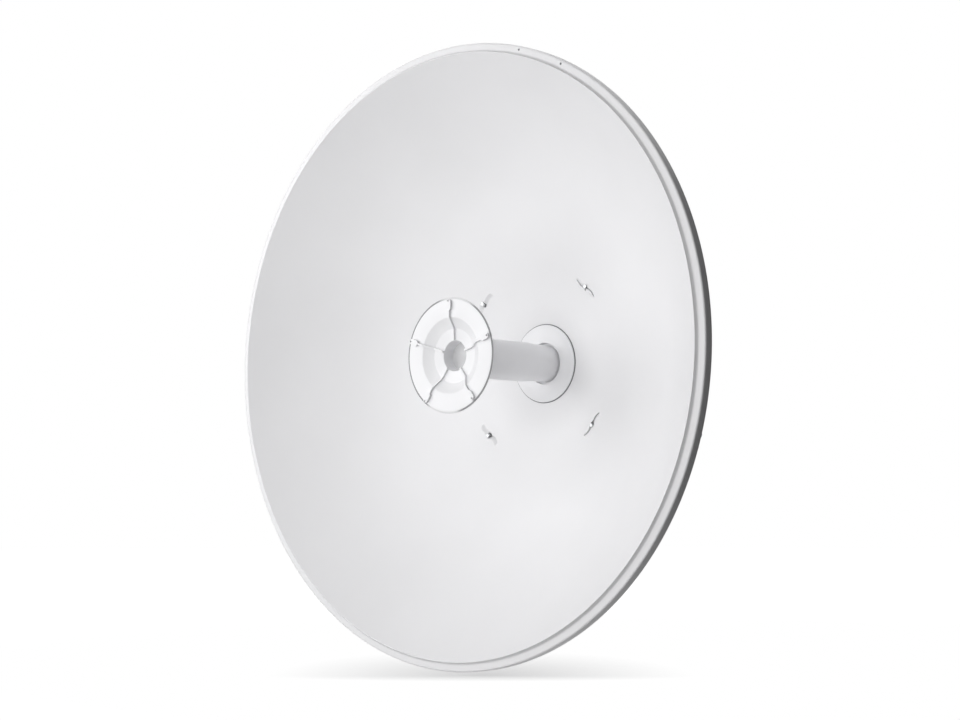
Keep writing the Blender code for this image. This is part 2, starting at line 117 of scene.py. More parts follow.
def color_property(name, description, default):
    return FloatVectorProperty(name=name, description=description, default=default, min=0.0,
                               max=1.0, size=3, subtype="COLOR")


class ReflectorSettings(bpy.types.PropertyGroup):
    """Sizes and colour of the reflector"""
    radius: length_property("Radius", "Outer radius of the rim", REFLECTOR_HIGH.x)
    focal_length: length_property("Focal length", "Focal length of the paraboloid", 0.1553)
    sheet: length_property("Sheet", "Thickness of the wall", 0.002)
    crest_radius: length_property("Crest radius", "Radius of the bowl's upper edge", 0.3146)
    step_radius: length_property("Step radius", "Inner radius of the flat lip", 0.3169)
    step_depth: length_property("Step depth", "Drop from the crest to the lip", 0.0033)
    skirt_depth: length_property("Skirt depth", "Depth of the turned-back edge", 0.0103)
    hub_radius: length_property("Hub hole", "Radius of the hole behind the feed", 0.03)
    lance_radius: length_property("Slot circle", "Radius of the circle of slots", 0.1033)
    lance_turn: FloatProperty(name="Slot turn", description="Angle of the first slot",
                              default=math.radians(45.0), subtype="ANGLE")
    paint: color_property("Paint", "Colour of the powder coat", (0.785, 0.783, 0.795))


class FeedSettings(bpy.types.PropertyGroup):
    """Sizes and colour of the feed"""
    disc_radius: length_property("Disc radius", "Outer radius of the feed disc", DISC_HIGH.x)
    disc_front: length_property("Disc height", "Height of the disc's front above the bowl",
                                VERTEX_Y - DISC_LOW.y)
    base_radius: length_property("Base radius", "Radius of the round base plate", BASE_HIGH.x)
    tube_radius: length_property("Tube radius", "Outer radius of the tube's front part", 0.0215)
    tube_rear_radius: length_property("Tube rear radius", "Radius of the tube at its base", 0.02)
    bore_radius: length_property("Bore", "Radius of the tube's bore", 0.0172)
    rib_count: IntProperty(name="Ribs", description="Number of radial ribs on the disc",
                           default=5, min=0, max=12)
    rib_turn: FloatProperty(name="Rib turn", description="Angle of the first rib",
                            default=math.radians(87.0), subtype="ANGLE")
    rib_width: length_property("Rib width", "Width of a radial rib", 0.002)
    rib_height: length_property("Rib height", "How far a rib stands above the disc", 0.0026)
    plastic: color_property("Plastic", "Colour of the moulded plastic", (0.8, 0.8, 0.815))
    # This dark colour is painted shade, in the gap under the base plate and in the rim holes
    hole_and_gap_shade: color_property("Gasket", "Colour of the seal under the base plate", (0.2, 0.2, 0.21))
    # The edge band's colour is painted shade in the seam round the disc
    band: color_property("Edge band", "Colour of the band round the disc", (0.27, 0.27, 0.28))
    # The cup window's colour is painted shade at the bottom of the deep cup
    window: color_property("Cup window", "Colour of the window in the cup", (0.55, 0.55, 0.56))


class HardwareSettings(bpy.types.PropertyGroup):
    """Sizes and colours of the brackets and fasteners"""
    bolt_radius: length_property("Bolt radius", "Radius of the shanks", 0.004)
    pitch: length_property("Thread pitch", "Pitch of the threads", 0.00125)
    edge: length_property("Plate edge", "Rounding of the plates' edges", 0.0004)
    steel: color_property("Galvanised steel", "Colour of the plates", (0.6, 0.62, 0.64))
    zinc: color_property("Zinc plate", "Colour of the fasteners", (0.7, 0.71, 0.72))
    casting: color_property("Casting", "Colour of the feed housing", (0.3, 0.31, 0.32))
    nickel: color_property("Nickel", "Colour of the connectors", (0.74, 0.71, 0.64))


class StageSettings(bpy.types.PropertyGroup):
    """Camera, light and floor"""
    lens: FloatProperty(name="Lens", description="Focal length of the camera in millimetres",
                        default=71.25, min=10.0)
    roll: FloatProperty(name="Roll", description="Turn of the view about the boresight",
                        default=math.radians(3.0), subtype="ANGLE")
    floor: color_property("Floor", "Colour of the lit floor", (1.0, 1.0, 1.0))
    light: FloatProperty(name="Light", description="Factor on the power of all lights", default=1.0,
                         min=0.0)


class Value:
    """An output of a node, on which arithmetic adds Math nodes."""

    def __init__(self, nodes, socket):
        self.nodes = nodes
        self.socket = socket

    def math(self, operation, *values):
        return self.nodes.node("ShaderNodeMath", {"operation": operation}, *values)

    def __add__(self, other):
        return self.math("ADD", self, other)

    def __sub__(self, other):
        return self.math("SUBTRACT", self, other)

    def __rsub__(self, other):
        return self.math("SUBTRACT", other, self)

    def __mul__(self, other):
        return self.math("MULTIPLY", self, other)

    def __pow__(self, other):
        return self.math("POWER", self, other)

    __radd__ = __add__
    __rmul__ = __mul__


class Nodes:
    """The nodes of a material or of the world."""

    def __init__(self, tree):
        self.tree = tree

    def fill(self, socket, value):
        if isinstance(value, Value):
            self.tree.links.new(value.socket, socket)
        else:
            socket.default_value = value

    def node(self, kind, settings, *values, output=0, stops=None, **named):
        """Add a node: its settings come first, then its inputs by place and by name."""
        node = self.tree.nodes.new(kind)
        for key, value in settings.items():
            setattr(node, key, value)
        if stops:
            ramp = node.color_ramp.elements
            while len(ramp) < len(stops):
                ramp.new(0.5)
            for element, (position, color) in zip(ramp, stops):
                element.position = position
                element.color = color
        for place, value in enumerate(values):
            self.fill(node.inputs[place], value)
        for name, value in named.items():
            self.fill(node.inputs[name.replace("_", " ")], value)
        return Value(self, node.outputs[output])


class Finish(Nodes):
    """A material and its nodes."""

    def __init__(self, name, color, roughness, metallic, specular):
        self.color = color
        self.material = bpy.data.materials.new(name)
        self.material.use_nodes = True
        self.material.diffuse_color = (*color, 1.0)
        super().__init__(self.material.node_tree)
        self.shader = self.tree.nodes["Principled BSDF"]
        self.set("Base Color", (*color, 1.0))
        self.set("Roughness", roughness)
        self.set("Metallic", metallic)
        self.set("Specular IOR Level", specular)

    def set(self, name, value):
        """Give a socket of the shader a value or a link."""
        self.fill(self.shader.inputs[name], value)

    def place(self):
        return self.node("ShaderNodeTexCoord", {}, output="Object")

    def vector(self, operation, *values, output="Vector"):
        return self.node("ShaderNodeVectorMath", {"operation": operation}, *values, output=output)

    def spoke(self):
        """The place as seen along the boresight."""
        return self.vector("MULTIPLY", self.place(), (1.0, 0.0, 1.0))

    def noise(self, scale, detail=2.0, roughness=0.5):
        return self.node("ShaderNodeTexNoise", {}, Vector=self.place(), Scale=scale,
                         Detail=detail, Roughness=roughness)

    def ramp(self, value, low, high):
        """Map a value between low and high to 0 to 1, smoothly."""
        return self.node("ShaderNodeMapRange", {"interpolation_type": "SMOOTHSTEP"}, value,
                         low, high, 0.0, 1.0)

    def mix(self, factor, first, second):
        """Mix two colours."""
        node = self.tree.nodes.new("ShaderNodeMix")
        node.data_type = "RGBA"
        self.fill(node.inputs[0], factor)
        for place, color in ((6, first), (7, second)):
            self.fill(node.inputs[place], color if isinstance(color, Value) else (*color, 1.0))
        return Value(self, node.outputs[2])

    def shade(self, factor):
        """The finish's own colour, darker or lighter."""
        return tuple(min(channel * factor, 1.0) for channel in self.color)

    def tones(self, factor, low, high):
        """Mix two shades of the finish's own colour."""
        return self.mix(factor, self.shade(low), self.shade(high))

    def bump(self, height, distance, strength=1.0):
        self.set("Normal", self.node("ShaderNodeBump", {}, Strength=strength, Distance=distance,
                                     Height=height))


def powder_coat(finish):
    """White powder coat: fine orange peel, a barely uneven tone, and painted shade on the rim."""
    coat = finish.tones(finish.ramp(finish.noise(5.0, 3.0), 0.3, 0.7), 0.975, 1.015)
    # Beyond these radii the coat is painted a shade darker, standing in for the shade on the lip
    radius = finish.vector("LENGTH", finish.spoke(), output="Value")
    finish.set("Base Color", finish.mix(finish.ramp(radius, *SHADED_RIM_RADII), coat, finish.shade(0.95)))
    finish.set("Roughness", 0.33 + finish.noise(60.0) * 0.08)
    finish.bump(finish.noise(700.0, 2.0, 0.6), 0.00004, 0.6)


def moulded_plastic(finish):
    """White moulded plastic with a soft gloss and a fine mould texture."""
    tone = finish.ramp(finish.noise(22.0), 0.3, 0.7)
    finish.set("Base Color", finish.tones(tone, 0.985, 1.01))
    finish.set("Roughness", 0.27 + finish.noise(140.0, 3.0) * 0.1)
    finish.bump(finish.noise(1800.0), 0.00002, 0.5)


def galvanised(finish):
    """Hot-dip galvanised steel: crystal spangles with their own tone and gloss."""
    crystal = finish.node("ShaderNodeTexVoronoi", {}, Vector=finish.place(), Scale=160.0,
                          output="Color")
    tone = finish.node("ShaderNodeSeparateColor", {}, crystal)
    cloud = finish.noise(18.0, 4.0, 0.6)
    finish.set("Base Color", finish.tones(tone * 0.6 + cloud * 0.5, 0.72, 1.12))
    finish.set("Roughness", 0.3 + tone * 0.14 + cloud * 0.16)
    finish.bump(cloud + tone * 0.25, 0.00012, 0.5)


def zinc_plate(finish):
    """Bright zinc plate, slightly blue, with handling marks."""
    cloud = finish.noise(90.0, 3.0)
    finish.set("Base Color", finish.mix(cloud, finish.shade(0.86), (0.7, 0.74, 0.8)))
    finish.set("Roughness", 0.2 + finish.noise(380.0) * 0.18)
    finish.bump(finish.noise(900.0), 0.00002, 0.4)


def sand_casting(finish):
    """Painted die casting with a pebbled skin."""
    grain = finish.noise(1200.0, 3.0, 0.7)
    finish.set("Base Color", finish.tones(finish.noise(30.0, 3.0), 0.9, 1.12))
    finish.set("Roughness", 0.44 + grain * 0.16)
    finish.bump(grain, 0.00012, 0.7)


def nickel_plate(finish):
    """Nickel plate with fine turning lines."""
    lines = finish.node("ShaderNodeTexWave", {"bands_direction": "Y"}, Vector=finish.place(),
                        Scale=900.0, Distortion=0.6)
    finish.set("Base Color", finish.tones(finish.noise(70.0), 0.88, 1.06))
    finish.set("Roughness", 0.17 + lines * 0.1)
    finish.bump(lines, 0.00001, 0.4)


def insulator(finish):
    """Milky plastic round a connector's contact."""
    finish.set("Subsurface Weight", 0.1)
    finish.set("Base Color", finish.tones(finish.noise(300.0), 0.94, 1.0))


def shade_rubber(finish):
    """Dull dark rubber, put in as painted shade in gaps and holes."""
    finish.set("Base Color", finish.tones(finish.noise(200.0), 0.85, 1.0))


def seam_shade(finish):
    """Painted shade in the seam round the disc, painted lighter at the top and the bottom, where
    light falls into it.
    """
    facing_light = finish.vector("DOT_PRODUCT", finish.vector("NORMALIZE", finish.spoke()),
                         (math.cos(BAND_LIGHT_FALL), 0.0, math.sin(BAND_LIGHT_FALL)), output="Value")
    painted_light = finish.ramp(facing_light.math("ABSOLUTE", facing_light) + finish.noise(60.0) * 0.04, 0.9, 0.99)
    finish.set("Base Color", finish.mix(painted_light, finish.color, (0.7, 0.7, 0.71)))


def cup_shade(finish):
    """Painted shade on a disc at the bottom of the deep cup, its tone slightly uneven."""
    tone = finish.ramp(finish.noise(70.0), 0.3, 0.7)
    finish.set("Base Color", finish.tones(tone, 0.94, 1.05))


def studio_floor(finish):
    """Pale seamless paper with a painted shadow where the rim stands, clear near the dish so that
    the tilted dish shows through.
    """
    finish.set("Emission Strength", 1.0)
    # A painted shadow: a dark ellipse on the floor where the rim stands
    shadow = finish.node("ShaderNodeMapping", {"vector_type": "TEXTURE"}, Vector=finish.place(),
                         Location=SHADOW_CENTRE, Rotation=(0.0, 0.0, VIEW_AZIMUTH),
                         Scale=SHADOW_SIZE)
    across, along = (finish.node("ShaderNodeSeparateXYZ", {}, shadow, output=axis)
                     for axis in ("X", "Y"))
    along = along.math("MAXIMUM", along, along * -SHADOW_FRONT)
    away = (across * across + along * along) ** 0.5
    near = away.math("MAXIMUM", 1.0 - away, 0.0)
    radius = finish.vector("LENGTH", finish.place(), output="Value")
    finish.set("Alpha", near ** SHADOW_FADE * SHADOW_DEPTH + finish.ramp(radius, *CLEAR_FLOOR))
    finish.set("Emission Color", finish.mix(finish.ramp(radius, *LIT_FLOOR), (0.0, 0.0, 0.01),
                                            finish.color))
    finish.set("Base Color", finish.tones(finish.noise(1.5), 0.03, 0.04))


# What makes each finish, its roughness, how metallic it is and its specular level
FINISHES = {
    "powder_coat": (powder_coat, 0.36, 0.0, 0.42),
    "moulded_plastic": (moulded_plastic, 0.3, 0.0, 0.45),
    "galvanised_steel": (galvanised, 0.42, 0.9, 0.5),
    "zinc_plate": (zinc_plate, 0.26, 1.0, 0.5),
    "grey_casting": (sand_casting, 0.52, 0.0, 0.4),
    "nickel_plate": (nickel_plate, 0.22, 1.0, 0.5),
    "insulator": (insulator, 0.4, 0.0, 0.5),
    "shade_rubber": (shade_rubber, 0.7, 0.0, 0.3),
    "seam_shade": (seam_shade, 0.6, 0.0, 0.3),
    "cup_shade": (cup_shade, 0.5, 0.0, 0.3),
    "studio_floor": (studio_floor, 0.9, 0.0, 0.1),
}


def material(name, color):
    """The finish of that name, made the first time that it is asked for."""
    found = bpy.data.materials.get(name)
    if not found:
        maker, *values = FINISHES[name]
        finish = Finish(name, tuple(color), *values)
        maker(finish)
        found = finish.material
    return found


# Vertices closer than this are merged, in turned shapes and after a boolean
MERGE_TURNED = 0.000005
MERGE_CARVED = 0.000002


def new_object(name, bm):
    """Put a bmesh in an object of the scene."""
    mesh = bpy.data.meshes.new(name)
    bm.to_mesh(mesh)
    bm.free()
    obj = bpy.data.objects.new(name, mesh)
    bpy.context.scene.collection.objects.link(obj)
    return obj


def finished(name, bm, finish, body, *nodes, smooth_angle=35.0):
    """Turn a bmesh into a piece that rides on a body and stands for the given nodes.

    A node's name belongs to the frame's object, so the piece has a name of its own.
    """
    obj = new_object(name, bm)
    obj.data.materials.append(finish)
    obj.data.shade_smooth()
    obj.data.set_sharp_from_angle(angle=math.radians(smooth_angle))
    if body:
        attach(obj, body)
    if nodes:
        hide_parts(*nodes)
    return obj


def placed(bm, matrix):
    bmesh.ops.transform(bm, matrix=matrix, verts=bm.verts)
    return bm


def at(x, y, *points):
    """Points in millimetres from a place in metres; a third number is the radius of a corner."""
    return [(x + u * MM, y + v * MM, *(radius * MM for radius in rest)) for u, v, *rest in points]


def mm(*points):
    return at(0.0, 0.0, *points)


def soften(bm, width, segments=2, angle=30.0):
    """Round every edge whose faces meet at more than an angle."""
    edges = [e for e in bm.edges
             if len(e.link_faces) == 2 and e.calc_face_angle(0.0) > math.radians(angle)]
    if edges:
        bmesh.ops.bevel(bm, geom=edges, offset=width, offset_type="OFFSET", segments=segments,
                        profile=0.5, affect="EDGES", clamp_overlap=True, material=-1)


def turned(profile, steps, closed=True):
    """Spin a profile of (radius, height) about local Z; a closed profile returns to its start."""
    bm = bmesh.new()
    verts = [bm.verts.new((radius, 0.0, height)) for radius, height in profile]
    pairs = list(zip(verts, verts[1:]))
    if closed:
        pairs.append((verts[-1], verts[0]))
    edges = [bm.edges.new(pair) for pair in pairs]
    bmesh.ops.spin(bm, geom=verts + edges, cent=(0, 0, 0), axis=(0, 0, 1), dvec=(0, 0, 0),
                   angle=math.tau, steps=steps, use_merge=True, use_duplicate=False)
    bmesh.ops.remove_doubles(bm, verts=bm.verts, dist=MERGE_TURNED)
    bmesh.ops.recalc_face_normals(bm, faces=bm.faces)
    return bm


def arc(radius, start, end, steps, centre=(0.0, 0.0)):
    """Points on an arc, in degrees."""
    angles = [math.radians(start + (end - start) * i / steps) for i in range(steps + 1)]
    return [(centre[0] + radius * math.cos(a), centre[1] + radius * math.sin(a)) for a in angles]


def circle(radius, centre=(0.0, 0.0), steps=32):
    return arc(radius, 0, 360, steps, centre)[:-1]


def plate(loops, low, high, matrix=STRAIGHT):
    """A flat plate from closed outlines, the first one outside and the others holes."""
    bm = bmesh.new()
    edges = []
    for loop in loops:
        verts = [bm.verts.new((u, v, low)) for u, v in loop]
        edges += [bm.edges.new((a, b)) for a, b in zip(verts, verts[1:] + verts[:1])]
    bmesh.ops.triangle_fill(bm, use_beauty=True, use_dissolve=False, edges=edges)
    bmesh.ops.dissolve_limit(bm, angle_limit=0.01, verts=bm.verts, edges=bm.edges)
    grown = bmesh.ops.extrude_face_region(bm, geom=bm.faces[:])
    lifted = [v for v in grown["geom"] if isinstance(v, bmesh.types.BMVert)]
    bmesh.ops.translate(bm, vec=(0, 0, high - low), verts=lifted)
    bmesh.ops.recalc_face_normals(bm, faces=bm.faces)
    return placed(bm, matrix)


def block(low, high, matrix=STRAIGHT):
    """A box between two corners."""
    bm = bmesh.new()
    low, high = Vector(low), Vector(high)
    bmesh.ops.create_cube(bm, size=1.0)
    bmesh.ops.scale(bm, vec=high - low, verts=bm.verts)
    bmesh.ops.translate(bm, vec=(low + high) / 2, verts=bm.verts)
    return placed(bm, matrix)


def prism(radius, start, end, segments=32):
    """A cylinder or hexagon between two points."""
    start, end = Vector(start), Vector(end)
    bm = bmesh.new()
    bmesh.ops.create_cone(bm, cap_ends=True, segments=segments, radius1=radius, radius2=radius,
                          depth=(end - start).length)
    matrix = Matrix.Translation((start + end) / 2)
    return placed(bm, matrix @ (end - start).to_track_quat("Z", "Y").to_matrix().to_4x4())


def carve(bm, tool, operation="DIFFERENCE"):
    """Boolean one bmesh with another, and return the result as a bmesh."""
    base, other = new_object("temporary", bm), new_object("temporary", tool)
    modifier = base.modifiers.new("Shape", "BOOLEAN")
    modifier.operation = operation
    modifier.solver = "EXACT"
    modifier.object = other
    evaluated = base.evaluated_get(bpy.context.evaluated_depsgraph_get())
    result = bmesh.new()
    result.from_mesh(evaluated.data)
    for obj in (base, other):
        mesh = obj.data
        bpy.data.objects.remove(obj)
        bpy.data.meshes.remove(mesh)
    bmesh.ops.remove_doubles(result, verts=result.verts, dist=MERGE_CARVED)
    return result


def joined(*shapes):
    """Put several separate closed shapes in one bmesh."""
    whole = bmesh.new()
    for shape in shapes:
        mesh = bpy.data.meshes.new("temporary")
        shape.to_mesh(mesh)
        shape.free()
        whole.from_mesh(mesh)
        bpy.data.meshes.remove(mesh)
    return whole


def bowl(radius, focal_length):
    """Height of the paraboloid above its vertex."""
    return radius ** 2 / (4 * focal_length)


def behind(radius, distance, focal_length):
    """The point at a distance behind the paraboloid, square to it."""
    slope = radius / (2 * focal_length)
    length = math.hypot(1, slope)
    return radius + distance * slope / length, bowl(radius, focal_length) - distance / length


def spread(start, end, count):
    return [start + (end - start) * i / (count - 1) for i in range(count)]


def smoothstep(value):
    value = min(max(value, 0.0), 1.0)
    return value * value * (3 - 2 * value)


# Pressed slots: a hole in the middle, a sheet edge bowed forward before it and one bowed back
# behind it, each over a narrow slit
LANCE_HALF = 0.0165
LANCE_REACH = LANCE_HALF + 0.006
LANCE_CUTS = 5
LANCE_BOW = 0.0026
LANCE_RISE = 0.002
LANCE_DROP = 0.0017
LANCE_WIDTH = 0.005
SLIT_WIDTH = 0.0007
HOLE_HALF = 0.0024


def lance_bow(place):
    return LANCE_BOW * math.sin(math.pi * place)


def lance_height(along, across):
    """How far the sheet stands forward at a place in a slot's own axes."""
    place = abs(along) / LANCE_HALF
    if place >= 1:
        return 0.0
    ends = smoothstep((1 - place) * 5) * smoothstep(place * 8)
    if along < 0:
        inward = lance_bow(place) - across
        return LANCE_RISE * ends * smoothstep(1 - inward / LANCE_WIDTH) if inward >= 0 else 0.0
    outward = across + lance_bow(place)
    return -LANCE_DROP * ends * smoothstep(1 - outward / LANCE_WIDTH) if outward >= 0 else 0.0


def slot_cutter():
    """The hole and the two slits of a slot, in its own axes."""
    cutter = block((-HOLE_HALF, -HOLE_HALF, -0.02), (HOLE_HALF, HOLE_HALF, 0.02))
    soften(cutter, 0.0008, 3)
    for sign in (-1, 1):
        near, far = [], []
        for place in spread(0.1, 0.92, 14):
            edge = -sign * lance_bow(place) - 0.0001
            near.append((edge, sign * place * LANCE_HALF))
            far.append((edge + SLIT_WIDTH, sign * place * LANCE_HALF))
        cutter = carve(cutter, plate([near + far[::-1]], -0.0205, 0.0205), "UNION")
    return cutter


def slot_angle(settings, index):
    return settings.lance_turn + math.radians(90 * index)


def press_slots(bm, settings):
    """Refine the front of the bowl round each slot and press its shape."""
    for index in range(4):
        angle = slot_angle(settings, index)
        centre = Vector((math.cos(angle), math.sin(angle))) * settings.lance_radius
        faces = []
        for face in bm.faces:
            middle = face.calc_center_median()
            radius = math.hypot(middle.x, middle.y)
            front = abs(middle.z - bowl(radius, settings.focal_length)) < settings.sheet / 3
            if front and (Vector(middle.xy) - centre).length < LANCE_REACH:
                faces.append(face)
        edges = list({edge for face in faces for edge in face.edges})
        bmesh.ops.subdivide_edges(bm, edges=edges, cuts=LANCE_CUTS, use_grid_fill=True)
        outward = centre.normalized()
        onward = Vector((-outward.y, outward.x))
        for vert in bm.verts:
            radius = math.hypot(vert.co.x, vert.co.y)
            height = bowl(radius, settings.focal_length)
            offset = Vector(vert.co.xy) - centre
            if (offset.length <= LANCE_REACH + 0.004
                    and abs(vert.co.z - height) <= settings.sheet / 3):
                vert.co.z = height + lance_height(offset.dot(onward), offset.dot(outward))


class Piece:
    """What every operator here shares."""
    bl_options = {"REGISTER", "UNDO"}


# The bowl's profile is finer between these radii, where the slots are pressed
SLOTS_FROM = 0.082
SLOTS_TO = 0.126
# Angles of the two small holes in the rim, in degrees
RIM_HOLES = (69.5, 58.75)


class DISH_OT_reflector(Piece, bpy.types.Operator):
    """Model the pressed bowl with its crest, step, lip, skirt, slots and rim holes"""
    bl_idname = "dish.reflector"
    bl_label = "Reflector"

    def execute(self, context):
        s = context.scene.dish_reflector
        focal = s.focal_length
        crest = bowl(s.crest_radius, focal)
        lip = crest - s.step_depth
        back = lip - s.skirt_depth
        radii = spread(s.hub_radius, SLOTS_FROM, 14)[:-1] + spread(SLOTS_FROM, SLOTS_TO, 16)[:-1]
        radii += spread(SLOTS_TO, s.crest_radius, 44)
        rear = [behind(r, s.sheet, focal)
                for r in spread(s.hub_radius, s.crest_radius - 0.0024, 48)]
        bm = turned([
            *((r, bowl(r, focal)) for r in radii),
            *at(s.crest_radius, crest, (0.3, 0.05), (0.6, -0.4)),
            *at(s.step_radius, lip, (-0.6, 1), (-0.1, 0.5), (0.6, 0.2), (1.3, 0)),
            *at(s.radius, lip, (-2.2, 0), (-1.3, -0.2), (-0.6, -0.6), (-0.2, -1.2), (0, -2)),
            *at(s.radius, back, (0, 0.3), (-0.3, 0), (-1.2, 0), (-1.5, 0.3)),
            *at(s.radius, lip, (-1.5, -2.8), (-2.1, -1.6), (-3, -1.4)),
            *at(s.step_radius, lip, (-0.8, -1.4)), *reversed(rear)], 256)
        press_slots(bm, s)
        holes = []
        for index in range(4):
            place = Matrix.Rotation(slot_angle(s, index), 4, "Z")
            place @= Matrix.Translation((s.lance_radius, 0, 0.018))
            holes.append(placed(slot_cutter(), place))
        middle = (s.step_radius + s.radius) / 2
        for index, degrees in enumerate(RIM_HOLES):
            x, z = (middle * f(math.radians(degrees)) for f in (math.cos, math.sin))
            holes.append(prism(0.0013, (x, z, lip - 0.004), (x, z, lip + 0.002), 20))
            # A dark rubber disc in each rim hole: painted shade inside the hole
            plug = turned(at(0, 0, (0, -1.3), (1.2, -1.3), (1.2, -0.8), (0.9, -0.6), (0, -0.5)),
                          20, False)
            place = BORESIGHT @ Matrix.Translation((x, z, lip))
            finished(f"rim_hole_shade_{index + 1}", placed(plug, place),
                     material("shade_rubber", context.scene.dish_feed.hole_and_gap_shade), DISH)
        bm = placed(carve(bm, joined(*holes)), BORESIGHT)
        finished("reflector_bowl", bm, material("powder_coat", s.paint), DISH, "reflector")
        return {"FINISHED"}


# The recess in the base plate round the foot of the tube, and the spigot behind the plate
SOCKET_RADIUS = 0.0226
SOCKET_FLOOR = 0.001
SPIGOT_RADIUS = 0.0297


class DISH_OT_feed_base(Piece, bpy.types.Operator):
    """Model the round plate that carries the tube, and a dark ring under its edge, painted shade of
    the gap there
    """
    bl_idname = "dish.feed_base"
    bl_label = "Feed base"

    def execute(self, context):
        s = context.scene.dish_feed
        focal = context.scene.dish_reflector.focal_length
        rear = VERTEX_Y - BASE_HIGH.y
        foot = bowl(s.base_radius, focal) + 0.0003
        front = foot + 0.0016
        seat = s.tube_rear_radius + 0.0003
        edge = s.base_radius - 0.0009
        bm = turned([
            (seat, 0.0), (seat, SOCKET_FLOOR),
            *at(SOCKET_RADIUS, SOCKET_FLOOR, (-0.4, 0), (0, 0.4)),
            *at(SOCKET_RADIUS, front, (0, -0.4), (0.3, 0)),
            *at(edge, front, (-0.6, 0), (-0.1, -0.3), (0, -0.7)), (edge, foot),
            (SPIGOT_RADIUS, bowl(SPIGOT_RADIUS, focal) + 0.0003), (SPIGOT_RADIUS, rear),
            (s.bore_radius, rear), (s.bore_radius, 0.0)], 160)
        inner = edge + 0.0001
        # A dark ring under the plate's edge: painted shade of the gap there
        seal = turned([(inner, bowl(inner, focal) + 0.0001), *at(s.base_radius, foot, (0, -0.2),
                       (0, 0.3)), (inner, foot + 0.0004)], 160)
        finished("base_gap_shade", placed(seal, BORESIGHT), material("shade_rubber", s.hole_and_gap_shade), DISH)
        finished("feed_base_plate", placed(bm, BORESIGHT), material("moulded_plastic", s.plastic),
                 DISH, "feed_base")
        return {"FINISHED"}


class DISH_OT_feed_tube(Piece, bpy.types.Operator):
    """Model the round waveguide tube with its slight taper"""
    bl_idname = "dish.feed_tube"
    bl_label = "Feed tube"

    def execute(self, context):
        s = context.scene.dish_feed
        radius, rear, bore = s.tube_radius, s.tube_rear_radius, s.bore_radius
        end = s.disc_front - 0.0248
        taper = [(radius + (rear - radius) * smoothstep(t), 0.04 - 0.02 * t)
                 for t in spread(0.0, 1.0, 9)]
        bm = turned([(bore, end), (radius - 0.0004, end), (radius, end - 0.0004), *taper,
                     (rear, 0.0003), (bore, 0.0003)], 128)
        finished("feed_waveguide", placed(bm, BORESIGHT), material("moulded_plastic", s.plastic),
                 DISH, "feed_tube")
        return {"FINISHED"}


# The disc's front, from its middle to its edge, as radius and height below the front plane
DISC_FACE = mm((0, 21), (14.3, 21), (14.9, 20.4), (15.8, 8.6), (16.2, 7.8), (17, 7.5), (28.2, 7.1),
               (29, 6.8), (38.8, 0.7), (39.6, 0.2), (40.5, 0))
# Each rib ends in a raised pad with a small hole
PAD_HALF_WIDTH = 0.0031
PAD_INNER = 0.0468
PAD_OUTER = 0.0583
PAD_HOLE = 0.0568
# Width of the band of painted shade that shows round the disc's face
EDGE_BAND = 0.0018


def disc_depth(radius):
    """Depth of the disc's face below its front plane."""
    for (r1, d1), (r2, d2) in zip(DISC_FACE, DISC_FACE[1:]):
        if r1 <= radius <= r2:
            return d1 + (d2 - d1) * (radius - r1) / (r2 - r1)
    return 0.0


class DISH_OT_feed_disc(Piece, bpy.types.Operator):
    """Model the feed disc with its cone, ring, cup, radial ribs and their pads"""
    bl_idname = "dish.feed_disc"
    bl_label = "Feed disc"

    def execute(self, context):
        s = context.scene.dish_feed
        edge, front, plug = s.disc_radius, s.disc_front, s.bore_radius - 0.0003
        seat = edge - EDGE_BAND
        rim = [*at(seat, 0, (-0.1, 0), (0, 0.1), (0, 0.6)),
               *at(edge, 0, (-0.1, 0.6), (0, 0.7), (0, 1), (-0.5, 1.5)),
               *mm((56, 5.2), (30, 13), (24, 15), (22.2, 16.8)),
               *at(s.tube_radius, 0, (0, 20), (0, 24.5)), *at(plug, 0, (0, 24.5), (0, 34.5)),
               (0.0, 0.0345)]
        bm = turned([(r, front - d) for r, d in DISC_FACE + rim], 180, False)
        radii = spread(0.0162, PAD_INNER + PAD_HALF_WIDTH, 40)
        foot = front - 0.009
        outline = [(r, front - disc_depth(r) + s.rib_height) for r in radii]
        outline += [(radii[-1], foot), (radii[0], foot)]
        pad = arc(PAD_HALF_WIDTH, 90, 270, 16, (PAD_INNER + PAD_HALF_WIDTH, 0.0))
        pad += arc(PAD_HALF_WIDTH, -90, 90, 16, (PAD_OUTER - PAD_HALF_WIDTH, 0.0))
        ribs, pads, holes = [], [], []
        for index in range(s.rib_count):
            turn = Matrix.Rotation(s.rib_turn - math.tau * index / s.rib_count, 4, "Z")
            ribs.append(plate([outline], -s.rib_width / 2, s.rib_width / 2, turn @ UPRIGHT))
            pads.append(plate([pad], front - 0.001, front + s.rib_height + 0.0002, turn))
            holes.append(placed(prism(0.001, (PAD_HOLE, 0, front - 0.0035),
                                      (PAD_HOLE, 0, front + 0.01), 20), turn))
        bm = carve(bm, joined(*ribs), "UNION")
        bm = carve(bm, joined(*pads), "UNION")
        bm = placed(carve(bm, joined(*holes)), BORESIGHT)
        finished("feed_disc_face", bm, material("moulded_plastic", s.plastic), DISH, "feed_disc",
                 smooth_angle=30.0)
        # A dark band round the disc's face: painted shade in the seam there
        band = turned([*at(seat, front, (0.1, -0.1)), *at(edge, front, (-0.3, -0.1), (-0.1, -0.3),
                       (-0.1, -0.5)), *at(seat, front, (0.1, -0.5))], 180)
        finished("disc_seam_shade", placed(band, BORESIGHT), material("seam_shade", s.band), DISH)
        # A darker disc at the bottom of the cup: painted shade in the deep recess
        window = turned(at(0, front, (0, -20.8), (15.3, -20.8), (15.3, -20), (0, -19.7)), 96, False)
        finished("disc_cup_shade", placed(window, BORESIGHT), material("cup_shade", s.window),
                 DISH)
        return {"FINISHED"}


